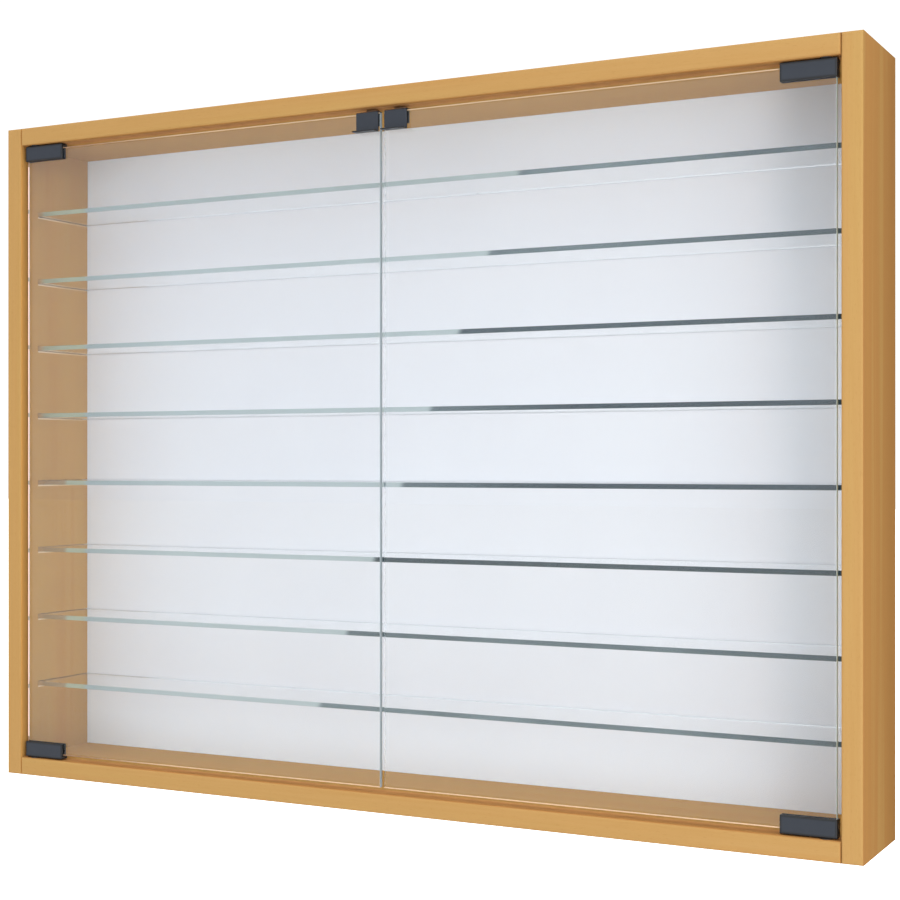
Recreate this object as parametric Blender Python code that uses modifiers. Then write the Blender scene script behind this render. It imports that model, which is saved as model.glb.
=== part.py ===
"""Wall display cabinet: a shallow wood-finished case with eight glass shelves and two glass doors.

The wall plane is y = 0, the doors face -Y, x = 0 is the middle and z = 0 is half the height.
"""
import math

import bmesh
import bpy
from mathutils import Matrix

# Case: outer size and the boards it is made of, in metres
CASE_WIDTH = 0.800
CASE_HEIGHT = 0.600
CASE_DEPTH = 0.100
BOARD = 0.016
FRONT_RADIUS = 0.0018
EDGE_ARRIS = 0.0004
BACK_THICKNESS = 0.003
REBATE_WIDTH = 0.008

# Clearances and the overrun of every cut
SEAT_GAP = 0.0003
RUNNING_GAP = 0.0002
CUT_OVERRUN = 0.002

# Shelves: loose panes in stopped grooves, the lowest bay a little higher than the others
SHELF_COUNT = 8
SHELF_THICKNESS = 0.004
SHELF_SETBACK = 0.026
SHELF_REAR_GAP = 0.0005
GROOVE_DEPTH = 0.006
LOWEST_BAY_EXTRA = 0.005
GLASS_ARRIS = 0.0002

# Doors: two panes set between the boards
DOOR_THICKNESS = 0.004
DOOR_SETBACK = 0.005
DOOR_GAP = 0.0045
MEETING_GAP = 0.004

# Hinge clips: channels over the panes' outer corners
CLIP_LENGTH = 0.043
CLIP_WALL = 0.0017
CLIP_END_WALL = 0.0008
CLIP_GRIP = 0.0105
CLIP_BOARD_GAP = 0.0009
CLIP_ARRIS = 0.0007
CLIP_ARRIS_SEGMENTS = 2
CLAMP_SCREW_RADIUS = 0.002
CLAMP_SCREW_INSET = 0.009
CLAMP_SCREW_SPACING = 0.013
CLAMP_SCREW_STAND = 0.0008
SOCKET_RADIUS = 0.0011
SOCKET_DEPTH = 0.0012
SOCKET_SIDES = 6

# Pivots: steel pins that turn in flanged bushes
PIVOT_INSET = 0.008
PIN_RADIUS = 0.002
PIN_SEAT = 0.0024
PIN_REACH = 0.007
PIN_CHAMFER = 0.0005
BUSH_WALL = 0.0012
BUSH_DEPTH = 0.010
FLANGE_LIP = 0.0011
FLANGE_LET_IN = 0.0006

# Door grips: bent sheet over each pane's top edge, with a finger lip
GRIP_WIDTH = 0.021
GRIP_HEIGHT = 0.0173
GRIP_SHEET = 0.001
GRIP_LIP = 0.007
GRIP_REAR_LEG = 0.0115
GRIP_INSET = 0.001
GRIP_BEND = 0.0007

# Magnet catches under the top board, behind the grips
CATCH_WIDTH = 0.010
CATCH_DEPTH = 0.006
CATCH_HEIGHT = 0.010
CATCH_ARRIS = 0.0006
CATCH_SCREW_RADIUS = 0.0013
CATCH_SCREW_REACH = 0.007
CATCH_HEAD_RADIUS = 0.0024
CATCH_HEAD_HEIGHT = 0.0014

# Case joints: a cam lock with its bolt and a dowel in each corner
CAM_RADIUS = 0.0075
CAM_DEPTH = 0.0122
CAM_FROM_END = 0.024
CAM_FROM_WALL = 0.034
CAM_CROSS_LENGTH = 0.0075
CAM_CROSS_WIDTH = 0.0014
CAM_CROSS_DEPTH = 0.0022
BOLT_THREAD_RADIUS = 0.0024
BOLT_THREAD_LENGTH = 0.0105
BOLT_COLLAR_RADIUS = 0.0034
BOLT_COLLAR_LENGTH = 0.0015
BOLT_SHANK_RADIUS = 0.0028
BOLT_NECK_RADIUS = 0.0019
BOLT_NECK_LENGTH = 0.0035
BOLT_HEAD_LENGTH = 0.0025
DOWEL_RADIUS = 0.004
DOWEL_LENGTH = 0.030
DOWEL_IN_SIDE = 0.0105
DOWEL_CHAMFER = 0.0008
DOWEL_FROM_WALL = 0.066

# Hangers: keyhole plates let into the side panels' rear edges
PLATE_WIDTH = 0.012
PLATE_HEIGHT = 0.044
PLATE_THICKNESS = 0.0015
PLATE_BELOW_TOP = 0.020
PLATE_CORNER = 0.0015
KEYHOLE_ENTRY_RADIUS = 0.0042
KEYHOLE_SLOT_RADIUS = 0.0022
KEYHOLE_TRAVEL = 0.008
POCKET_WIDTH = 0.0096
POCKET_HEIGHT = 0.022
POCKET_DEPTH = 0.009
HANGER_SCREW_INSET = 0.0055
HANGER_SCREW_RADIUS = 0.0014
HANGER_SCREW_LENGTH = 0.014
HANGER_HEAD_RADIUS = 0.0027
HANGER_HEAD_HEIGHT = 0.0011
REBATE_STOP_MARGIN = 0.003

# Facets of round pieces, and how near two points of a turned piece are one
ROUND_STEPS = 24
SMALL_STEPS = 16
ROUNDING_SEGMENTS = 3
SMOOTH_ANGLE = math.radians(35)
MERGE_DISTANCE = 0.00001

# Places that follow from the sizes
INNER_X = CASE_WIDTH / 2 - BOARD
INNER_Z = CASE_HEIGHT / 2 - BOARD
BOARD_MID_Z = CASE_HEIGHT / 2 - BOARD / 2
PANEL_MID_X = CASE_WIDTH / 2 - BOARD / 2
BACK_FACE_Y = -BACK_THICKNESS
BAY_HEIGHT = (2 * INNER_Z - SHELF_COUNT * SHELF_THICKNESS - LOWEST_BAY_EXTRA) / (SHELF_COUNT + 1)
SHELF_PITCH = BAY_HEIGHT + SHELF_THICKNESS
LOWEST_SHELF_Z = -INNER_Z + LOWEST_BAY_EXTRA + BAY_HEIGHT + SHELF_THICKNESS / 2
SHELF_FRONT_Y = -CASE_DEPTH + SHELF_SETBACK
SHELF_REAR_Y = BACK_FACE_Y - SHELF_REAR_GAP
PANE_OUTER_X = INNER_X - DOOR_GAP
PANE_INNER_X = MEETING_GAP / 2
PANE_EDGE_Z = INNER_Z - DOOR_GAP
PANE_FRONT_Y = -CASE_DEPTH + DOOR_SETBACK
PIVOT_Y = PANE_FRONT_Y + DOOR_THICKNESS / 2
PIVOT_X = PANE_OUTER_X - PIVOT_INSET
CLIP_TOP_Z = INNER_Z - CLIP_BOARD_GAP
BUSH_RADIUS = PIN_RADIUS + RUNNING_GAP + BUSH_WALL
FLANGE_RADIUS = BUSH_RADIUS + FLANGE_LIP
PLATE_UPPER_Z = CASE_HEIGHT / 2 - PLATE_BELOW_TOP
PLATE_LOWER_Z = PLATE_UPPER_Z - PLATE_HEIGHT
PLATE_MID_Z = (PLATE_LOWER_Z + PLATE_UPPER_Z) / 2
KEYHOLE_ENTRY_Z = PLATE_MID_Z - KEYHOLE_TRAVEL / 2
KEYHOLE_SEAT_Z = KEYHOLE_ENTRY_Z + KEYHOLE_TRAVEL
REBATE_STOP_Z = PLATE_LOWER_Z - REBATE_STOP_MARGIN
HANGER_SCREWS = (("lower", PLATE_LOWER_Z + HANGER_SCREW_INSET), ("upper", PLATE_UPPER_Z - HANGER_SCREW_INSET))
SIDES = ((-1, "left"), (1, "right"))
LEVELS = ((1, "top"), (-1, "bottom"))


for stale in list(bpy.data.objects):
    bpy.data.objects.remove(stale, do_unlink=True)


def new_collection(name):
    collection = bpy.data.collections.new(name)
    bpy.context.scene.collection.children.link(collection)
    return collection


PARTS = new_collection("wall_display_cabinet")
CUTTERS = new_collection("cutters")


def finish(name, colour, roughness, metallic=0.0, transmission=0.0):
    """A plain surface with the piece's colour."""
    surface = bpy.data.materials.new(name)
    surface.use_nodes = True
    shader = surface.node_tree.nodes["Principled BSDF"]
    shader.inputs["Base Color"].default_value = (*colour, 1.0)
    shader.inputs["Roughness"].default_value = roughness
    shader.inputs["Metallic"].default_value = metallic
    shader.inputs["Transmission Weight"].default_value = transmission
    surface.diffuse_color = (*colour, 1.0)
    return surface


WOOD_DECOR = finish("wood_decor", (0.58, 0.34, 0.13), 0.45)
WHITE_BOARD = finish("white_board", (0.80, 0.80, 0.79), 0.5)
CLEAR_GLASS = finish("clear_glass", (0.86, 0.95, 0.92), 0.02, transmission=1.0)
SLATE_METAL = finish("slate_metal", (0.055, 0.063, 0.08), 0.42, metallic=0.3)
BRIGHT_STEEL = finish("bright_steel", (0.62, 0.62, 0.60), 0.3, metallic=1.0)
CAST_ZINC = finish("cast_zinc", (0.50, 0.50, 0.49), 0.4, metallic=1.0)
DARK_NYLON = finish("dark_nylon", (0.035, 0.035, 0.04), 0.5)
BROWN_PLASTIC = finish("brown_plastic", (0.12, 0.055, 0.03), 0.4)
PLAIN_BEECH = finish("plain_beech", (0.62, 0.42, 0.24), 0.65)


def put(name, mesh, centre, surface=None, carrier=None, turn=(0, 0, 0)):
    """An object in its collection: a part where it has a surface, else a cutter."""
    piece = bpy.data.objects.new(name, mesh)
    if surface is None:
        CUTTERS.objects.link(piece)
        piece.hide_render = True
        piece.display_type = "WIRE"
    else:
        PARTS.objects.link(piece)
        mesh.materials.append(surface)
    base = carrier.location if carrier else (0, 0, 0)
    piece.parent = carrier
    piece.location = [place - start for place, start in zip(centre, base)]
    piece.rotation_euler = turn
    return piece


def box_between(low, high):
    """The size and the centre of the box between two corners given in any order."""
    size = [abs(b - a) for a, b in zip(low, high)]
    centre = [(a + b) / 2 for a, b in zip(low, high)]
    return size, centre


def box_mesh(name, size, arris=0.0, segments=1):
    """A box about its own centre, with all its edges broken by the arris."""
    mesh = bpy.data.meshes.new(name)
    form = bmesh.new()
    bmesh.ops.create_cube(form, size=1, matrix=Matrix.Diagonal((*size, 1)))
    if arris:
        bmesh.ops.bevel(form, geom=form.edges[:], offset=arris, offset_type="OFFSET", segments=segments,
                        profile=0.5, affect="EDGES", material=-1)
    form.to_mesh(mesh)
    form.free()
    return mesh


def board_mesh(name, size):
    """A case board: its front face has rounded edges all round, the others a fine arris."""
    mesh = bpy.data.meshes.new(name)
    form = bmesh.new()
    bmesh.ops.create_cube(form, size=1, matrix=Matrix.Diagonal((*size, 1)))
    rear = [edge for edge in form.edges if all(vert.co.y > 0 for vert in edge.verts)]
    bmesh.ops.bevel(form, geom=rear, offset=EDGE_ARRIS, offset_type="OFFSET", segments=1, profile=0.5,
                    affect="EDGES", material=-1)
    front = [edge for edge in form.edges if all(vert.co.y < -size[1] / 2 + EDGE_ARRIS for vert in edge.verts)]
    bmesh.ops.bevel(form, geom=front, offset=FRONT_RADIUS, offset_type="OFFSET", segments=ROUNDING_SEGMENTS,
                    profile=0.5, affect="EDGES", material=-1)
    form.to_mesh(mesh)
    form.free()
    return mesh


def cylinder_mesh(name, radius, length, steps=ROUND_STEPS):
    """A closed cylinder along Z about its own centre."""
    mesh = bpy.data.meshes.new(name)
    form = bmesh.new()
    bmesh.ops.create_cone(form, cap_ends=True, segments=steps, radius1=radius, radius2=radius, depth=length)
    form.to_mesh(mesh)
    form.free()
    return mesh


def turned(name, profile, centre, surface, carrier=None, turn=(0, 0, 0), steps=SMALL_STEPS):
    """A turned piece: a profile of (radius, height) from the top's middle to the bottom's middle."""
    mesh = bpy.data.meshes.new(name)
    form = bmesh.new()
    chain = [form.verts.new((radius, 0, height)) for radius, height in profile]
    edges = [form.edges.new(pair) for pair in zip(chain, chain[1:])]
    bmesh.ops.spin(form, geom=chain + edges, cent=(0, 0, 0), axis=(0, 0, 1), angle=math.tau, steps=steps,
                   use_merge=True)
    bmesh.ops.remove_doubles(form, verts=form.verts[:], dist=MERGE_DISTANCE)
    bmesh.ops.recalc_face_normals(form, faces=form.faces[:])
    form.to_mesh(mesh)
    form.free()
    piece = put(name, mesh, centre, surface, carrier, turn)
    shade_round(piece)
    return piece


def cut(piece, cutter):
    """Cut a cutter out of a piece."""
    step = piece.modifiers.new(cutter.name, "BOOLEAN")
    step.operation = "DIFFERENCE"
    step.object = cutter


def cut_box(piece, label, low, high, carrier=None):
    size, centre = box_between(low, high)
    name = f"{piece.name}_{label}_cutter"
    cut(piece, put(name, box_mesh(name, size), centre, carrier=carrier))


def cut_bore(piece, label, radius, start, end, carrier=None, steps=ROUND_STEPS):
    """Cut a round hole along the one axis on which the start and the end differ."""
    spans = [b - a for a, b in zip(start, end)]
    axis = max(range(3), key=lambda index: abs(spans[index]))
    quarter = math.radians(90)
    turn = ((0, quarter, 0), (quarter, 0, 0), (0, 0, 0))[axis]
    centre = [(a + b) / 2 for a, b in zip(start, end)]
    name = f"{piece.name}_{label}_cutter"
    mesh = cylinder_mesh(name, radius, abs(spans[axis]), steps)
    cut(piece, put(name, mesh, centre, carrier=carrier, turn=turn))


def shade_round(piece):
    """Smooth shading that keeps the sharp corners."""
    piece.data.shade_smooth()
    piece.data.set_sharp_from_angle(angle=SMOOTH_ANGLE)


def shelf_heights():
    return [LOWEST_SHELF_Z + index * SHELF_PITCH for index in range(SHELF_COUNT)]


def side_panel(side, label):
    """Full-height side with shelf grooves, a rebate for the back and the corner joints' holes."""
    size = (BOARD, CASE_DEPTH, CASE_HEIGHT)
    name = f"{label}_side_panel"
    panel = put(name, board_mesh(name, size), (side * PANEL_MID_X, -CASE_DEPTH / 2, 0), WOOD_DECOR)
    opening_x = side * (INNER_X - CUT_OVERRUN)
    rebate_y = BACK_FACE_Y - SEAT_GAP
    rebate_z = INNER_Z + REBATE_WIDTH
    cut_box(panel, "rebate", (opening_x, rebate_y, -rebate_z),
            (side * (INNER_X + REBATE_WIDTH), CUT_OVERRUN, REBATE_STOP_Z))
    groove_half = SHELF_THICKNESS / 2 + SEAT_GAP
    for number, height in enumerate(shelf_heights(), 1):
        cut_box(panel, f"groove_{number}", (opening_x, SHELF_FRONT_Y - SEAT_GAP, height - groove_half),
                (side * (INNER_X + GROOVE_DEPTH), CUT_OVERRUN, height + groove_half))
    bolt_end = side * (INNER_X + BOLT_THREAD_LENGTH + SEAT_GAP)
    dowel_end = side * (INNER_X + DOWEL_IN_SIDE + SEAT_GAP)
    for level, level_label in LEVELS:
        height = level * BOARD_MID_Z
        cut_bore(panel, f"{level_label}_bolt", BOLT_THREAD_RADIUS + SEAT_GAP,
                 (opening_x, -CAM_FROM_WALL, height), (bolt_end, -CAM_FROM_WALL, height))
        cut_bore(panel, f"{level_label}_dowel", DOWEL_RADIUS + SEAT_GAP,
                 (opening_x, -DOWEL_FROM_WALL, height), (dowel_end, -DOWEL_FROM_WALL, height))
    cut_hanger_seat(panel, side)


def cut_hanger_seat(panel, side):
    """A shallow recess for the plate, a pocket for the wall screw's head and two pilot holes."""
    middle = side * PANEL_MID_X
    half = PLATE_WIDTH / 2 + SEAT_GAP
    seat_y = -PLATE_THICKNESS - 2 * SEAT_GAP
    cut_box(panel, "plate_seat", (middle - half, seat_y, PLATE_LOWER_Z - SEAT_GAP),
            (middle + half, CUT_OVERRUN, PLATE_UPPER_Z + SEAT_GAP))
    cut_box(panel, "head_pocket", (middle - POCKET_WIDTH / 2, -POCKET_DEPTH, PLATE_MID_Z - POCKET_HEIGHT / 2),
            (middle + POCKET_WIDTH / 2, 0, PLATE_MID_Z + POCKET_HEIGHT / 2))
    for place, height in HANGER_SCREWS:
        cut_bore(panel, f"{place}_pilot", HANGER_SCREW_RADIUS + SEAT_GAP, (middle, 0, height),
                 (middle, -HANGER_SCREW_LENGTH - 2 * SEAT_GAP, height), steps=SMALL_STEPS)


def cross_board(level, label):
    """Top or bottom board between the sides, with cam pockets in its outer face."""
    half = INNER_X - SEAT_GAP
    name = f"{label}_board"
    outer_z = level * CASE_HEIGHT / 2
    inner_z = level * INNER_Z
    board = put(name, board_mesh(name, (2 * half, CASE_DEPTH, BOARD)),
                (0, -CASE_DEPTH / 2, level * BOARD_MID_Z), WOOD_DECOR)
    past_end = half + CUT_OVERRUN
    height = level * BOARD_MID_Z
    mouth = inner_z - level * CUT_OVERRUN
    pocket_floor = outer_z - level * (CAM_DEPTH + 2 * SEAT_GAP)
    dowel_end = INNER_X - (DOWEL_LENGTH - DOWEL_IN_SIDE) - SEAT_GAP
    cut_box(board, "rebate", (-past_end, BACK_FACE_Y - SEAT_GAP, mouth),
            (past_end, CUT_OVERRUN, inner_z + level * REBATE_WIDTH))
    for side, side_label in SIDES:
        cam_x = side * (INNER_X - CAM_FROM_END)
        pivot_x = side * PIVOT_X
        cut_bore(board, f"{side_label}_cam", CAM_RADIUS + SEAT_GAP,
                 (cam_x, -CAM_FROM_WALL, outer_z + level * CUT_OVERRUN),
                 (cam_x, -CAM_FROM_WALL, pocket_floor))
        cut_bore(board, f"{side_label}_bolt", BOLT_COLLAR_RADIUS + SEAT_GAP,
                 (cam_x, -CAM_FROM_WALL, height), (side * past_end, -CAM_FROM_WALL, height))
        cut_bore(board, f"{side_label}_dowel", DOWEL_RADIUS + SEAT_GAP,
                 (side * dowel_end, -DOWEL_FROM_WALL, height),
                 (side * past_end, -DOWEL_FROM_WALL, height))
        cut_bore(board, f"{side_label}_bush", BUSH_RADIUS + SEAT_GAP, (pivot_x, PIVOT_Y, mouth),
                 (pivot_x, PIVOT_Y, inner_z + level * (BUSH_DEPTH + SEAT_GAP)))
        cut_bore(board, f"{side_label}_flange", FLANGE_RADIUS + SEAT_GAP, (pivot_x, PIVOT_Y, mouth),
                 (pivot_x, PIVOT_Y, inner_z + level * (FLANGE_LET_IN + SEAT_GAP)))
        if level > 0:
            catch_x, catch_y = catch_place(side)
            pilot_end = inner_z + CATCH_SCREW_REACH + SEAT_GAP
            cut_bore(board, f"{side_label}_catch_pilot", CATCH_SCREW_RADIUS + SEAT_GAP,
                     (catch_x, catch_y, mouth), (catch_x, catch_y, pilot_end), steps=SMALL_STEPS)


def back_panel():
    """Thin panel in the case's rebates, its upper corners notched round the hangers."""
    half_x = INNER_X + REBATE_WIDTH - SEAT_GAP
    half_z = INNER_Z + REBATE_WIDTH - SEAT_GAP
    size, centre = box_between((-half_x, BACK_FACE_Y, -half_z), (half_x, 0, half_z))
    panel = put("back_panel", box_mesh("back_panel", size), centre, WHITE_BOARD)
    notch_low = REBATE_STOP_Z - SEAT_GAP
    for side, label in SIDES:
        cut_box(panel, f"{label}_notch", (side * (INNER_X - SEAT_GAP), BACK_FACE_Y - CUT_OVERRUN, notch_low),
                (side * (half_x + CUT_OVERRUN), CUT_OVERRUN, half_z + CUT_OVERRUN))


def glass_shelves():
    half_x = INNER_X + GROOVE_DEPTH - SEAT_GAP
    half_z = SHELF_THICKNESS / 2
    for number, height in enumerate(shelf_heights(), 1):
        size, centre = box_between((-half_x, SHELF_FRONT_Y, height - half_z),
                                   (half_x, SHELF_REAR_Y, height + half_z))
        name = f"glass_shelf_{number}"
        put(name, box_mesh(name, size, GLASS_ARRIS), centre, CLEAR_GLASS)


def corner_joint(side, side_label, level, level_label):
    """Cam lock in the cross board, its bolt from the side panel and a dowel beside them."""
    corner = f"{level_label}_{side_label}"
    cam_x = side * (INNER_X - CAM_FROM_END)
    height = level * BOARD_MID_Z
    cam_top = level * (CASE_HEIGHT / 2 - SEAT_GAP)
    cam_bottom = cam_top - level * CAM_DEPTH
    name = f"{corner}_cam_lock"
    cam = put(name, cylinder_mesh(name, CAM_RADIUS, CAM_DEPTH),
              (cam_x, -CAM_FROM_WALL, (cam_top + cam_bottom) / 2), CAST_ZINC)
    window = BOLT_COLLAR_RADIUS + SEAT_GAP
    head_clear = BOLT_HEAD_LENGTH / 2 + SEAT_GAP
    cut_box(cam, "window", (cam_x - side * head_clear, -CAM_FROM_WALL - window, height - window),
            (cam_x + side * (CAM_RADIUS + CUT_OVERRUN), -CAM_FROM_WALL + window, height + window))
    long_half = CAM_CROSS_LENGTH / 2
    short_half = CAM_CROSS_WIDTH / 2
    for label, half_x, half_y in (("slot", long_half, short_half), ("cross_slot", short_half, long_half)):
        cut_box(cam, label, (cam_x - half_x, -CAM_FROM_WALL - half_y, cam_top + level * CUT_OVERRUN),
                (cam_x + half_x, -CAM_FROM_WALL + half_y, cam_top - level * CAM_CROSS_DEPTH))
    shade_round(cam)

    head_end = -CAM_FROM_END - BOLT_HEAD_LENGTH / 2
    neck_start = head_end + BOLT_HEAD_LENGTH
    shank_start = neck_start + BOLT_NECK_LENGTH
    collar_end = -SEAT_GAP - BOLT_COLLAR_LENGTH
    profile = ((0, BOLT_THREAD_LENGTH), (BOLT_THREAD_RADIUS, BOLT_THREAD_LENGTH),
               (BOLT_THREAD_RADIUS, -SEAT_GAP), (BOLT_COLLAR_RADIUS, -SEAT_GAP),
               (BOLT_COLLAR_RADIUS, collar_end), (BOLT_SHANK_RADIUS, collar_end),
               (BOLT_SHANK_RADIUS, shank_start), (BOLT_NECK_RADIUS, shank_start),
               (BOLT_NECK_RADIUS, neck_start), (BOLT_COLLAR_RADIUS, neck_start),
               (BOLT_COLLAR_RADIUS, head_end), (0, head_end))
    quarter = math.radians(90)
    turned(f"{corner}_cam_bolt", profile, (side * INNER_X, -CAM_FROM_WALL, height), BRIGHT_STEEL,
           turn=(0, side * quarter, 0))

    name = f"{corner}_dowel"
    half = DOWEL_LENGTH / 2
    middle_x = INNER_X + DOWEL_IN_SIDE - half
    profile = ((0, half), (DOWEL_RADIUS - DOWEL_CHAMFER, half), (DOWEL_RADIUS, half - DOWEL_CHAMFER),
               (DOWEL_RADIUS, DOWEL_CHAMFER - half), (DOWEL_RADIUS - DOWEL_CHAMFER, -half), (0, -half))
    turned(name, profile, (side * middle_x, -DOWEL_FROM_WALL, height), PLAIN_BEECH, turn=(0, quarter, 0))


def cut_countersink(plate, place, mouth):
    """A cone round a screw head that lies a gap below the plate's rear face."""
    taper = (HANGER_HEAD_RADIUS - HANGER_SCREW_RADIUS) / HANGER_HEAD_HEIGHT
    side_gap = SEAT_GAP * math.hypot(1, taper)
    depth = HANGER_HEAD_HEIGHT + 2 * SEAT_GAP
    name = f"{plate.name}_{place}_countersink_cutter"
    mesh = bpy.data.meshes.new(name)
    form = bmesh.new()
    bmesh.ops.create_cone(form, cap_ends=True, segments=SMALL_STEPS, radius1=HANGER_SCREW_RADIUS + side_gap,
                          radius2=HANGER_HEAD_RADIUS + side_gap + 2 * SEAT_GAP * taper, depth=depth)
    form.to_mesh(mesh)
    form.free()
    centre = (mouth[0], mouth[1] + SEAT_GAP - depth / 2, mouth[2])
    cut(plate, put(name, mesh, centre, turn=(math.radians(-90), 0, 0)))


def hanger(side, label):
    """Keyhole plate let into the side panel's rear edge, with its two countersunk screws."""
    middle = side * PANEL_MID_X
    rear = -SEAT_GAP
    front = rear - PLATE_THICKNESS
    size, centre = box_between((middle - PLATE_WIDTH / 2, front, PLATE_LOWER_Z),
                               (middle + PLATE_WIDTH / 2, rear, PLATE_UPPER_Z))
    name = f"{label}_hanger_plate"
    mesh = box_mesh(name, size)
    form = bmesh.new()
    form.from_mesh(mesh)
    corners = [edge for edge in form.edges if edge.verts[0].co.y * edge.verts[1].co.y < 0]
    bmesh.ops.bevel(form, geom=corners, offset=PLATE_CORNER, offset_type="OFFSET", segments=ROUNDING_SEGMENTS,
                    profile=0.5, affect="EDGES", material=-1)
    form.to_mesh(mesh)
    form.free()
    plate = put(name, mesh, centre, BRIGHT_STEEL)
    start = rear + CUT_OVERRUN
    end = front - CUT_OVERRUN
    cut_bore(plate, "keyhole_entry", KEYHOLE_ENTRY_RADIUS, (middle, start, KEYHOLE_ENTRY_Z),
             (middle, end, KEYHOLE_ENTRY_Z))
    cut_box(plate, "keyhole_slot", (middle - KEYHOLE_SLOT_RADIUS, start, KEYHOLE_ENTRY_Z),
            (middle + KEYHOLE_SLOT_RADIUS, end, KEYHOLE_SEAT_Z))
    cut_bore(plate, "keyhole_seat", KEYHOLE_SLOT_RADIUS, (middle, start, KEYHOLE_SEAT_Z),
             (middle, end, KEYHOLE_SEAT_Z))
    for place, height in HANGER_SCREWS:
        cut_bore(plate, f"{place}_screw_hole", HANGER_SCREW_RADIUS + SEAT_GAP, (middle, start, height),
                 (middle, end, height), steps=SMALL_STEPS)
        cut_countersink(plate, place, (middle, rear, height))
        profile = ((0, -SEAT_GAP), (HANGER_HEAD_RADIUS, -SEAT_GAP),
                   (HANGER_SCREW_RADIUS, -SEAT_GAP - HANGER_HEAD_HEIGHT),
                   (HANGER_SCREW_RADIUS, HANGER_SCREW_RADIUS - HANGER_SCREW_LENGTH),
                   (0, -HANGER_SCREW_LENGTH))
        turned(f"{label}_hanger_screw_{place}", profile, (middle, rear, height), BRIGHT_STEEL,
               turn=(math.radians(-90), 0, 0))
    shade_round(plate)


def catch_place(side):
    """The middle of a magnet catch, behind the rear leg of its door's grip."""
    middle_x = side * (PANE_INNER_X + GRIP_INSET + GRIP_WIDTH / 2)
    front = PANE_FRONT_Y + DOOR_THICKNESS + GRIP_SHEET + 2 * SEAT_GAP
    return middle_x, front + CATCH_DEPTH / 2


def magnet_catch(side, label):
    """Small magnet housing screwed up under the top board."""
    middle_x, middle_y = catch_place(side)
    upper = INNER_Z - SEAT_GAP
    lower = upper - CATCH_HEIGHT
    name = f"{label}_magnet_catch"
    housing = put(name, box_mesh(name, (CATCH_WIDTH, CATCH_DEPTH, CATCH_HEIGHT), CATCH_ARRIS),
                  (middle_x, middle_y, (upper + lower) / 2), BROWN_PLASTIC)
    cut_bore(housing, "screw_hole", CATCH_SCREW_RADIUS + SEAT_GAP, (middle_x, middle_y, upper + CUT_OVERRUN),
             (middle_x, middle_y, lower - CUT_OVERRUN), steps=SMALL_STEPS)
    tip = CATCH_HEIGHT + 2 * SEAT_GAP + CATCH_SCREW_REACH
    profile = ((0, tip), (CATCH_SCREW_RADIUS, tip - CATCH_SCREW_RADIUS), (CATCH_SCREW_RADIUS, 0),
               (CATCH_HEAD_RADIUS, 0), (CATCH_HEAD_RADIUS, -CATCH_HEAD_HEIGHT / 2), (0, -CATCH_HEAD_HEIGHT))
    turned(f"{label}_catch_screw", profile, (middle_x, middle_y, lower - SEAT_GAP), BRIGHT_STEEL)


def pivot_bush(side, side_label, level, level_label):
    """Flanged nylon bush let into a cross board round a door's pivot pin."""
    bore = PIN_RADIUS + RUNNING_GAP
    flange_low = -CLIP_BOARD_GAP + SEAT_GAP
    bore_end = PIN_REACH + SEAT_GAP
    profile = ((0, BUSH_DEPTH), (BUSH_RADIUS, BUSH_DEPTH), (BUSH_RADIUS, FLANGE_LET_IN),
               (FLANGE_RADIUS, FLANGE_LET_IN), (FLANGE_RADIUS, flange_low), (bore, flange_low),
               (bore, bore_end), (0, bore_end))
    turned(f"{side_label}_{level_label}_pivot_bush", profile, (side * PIVOT_X, PIVOT_Y, level * INNER_Z),
           DARK_NYLON, turn=(0 if level > 0 else math.radians(180), 0, 0), steps=ROUND_STEPS)


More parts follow.
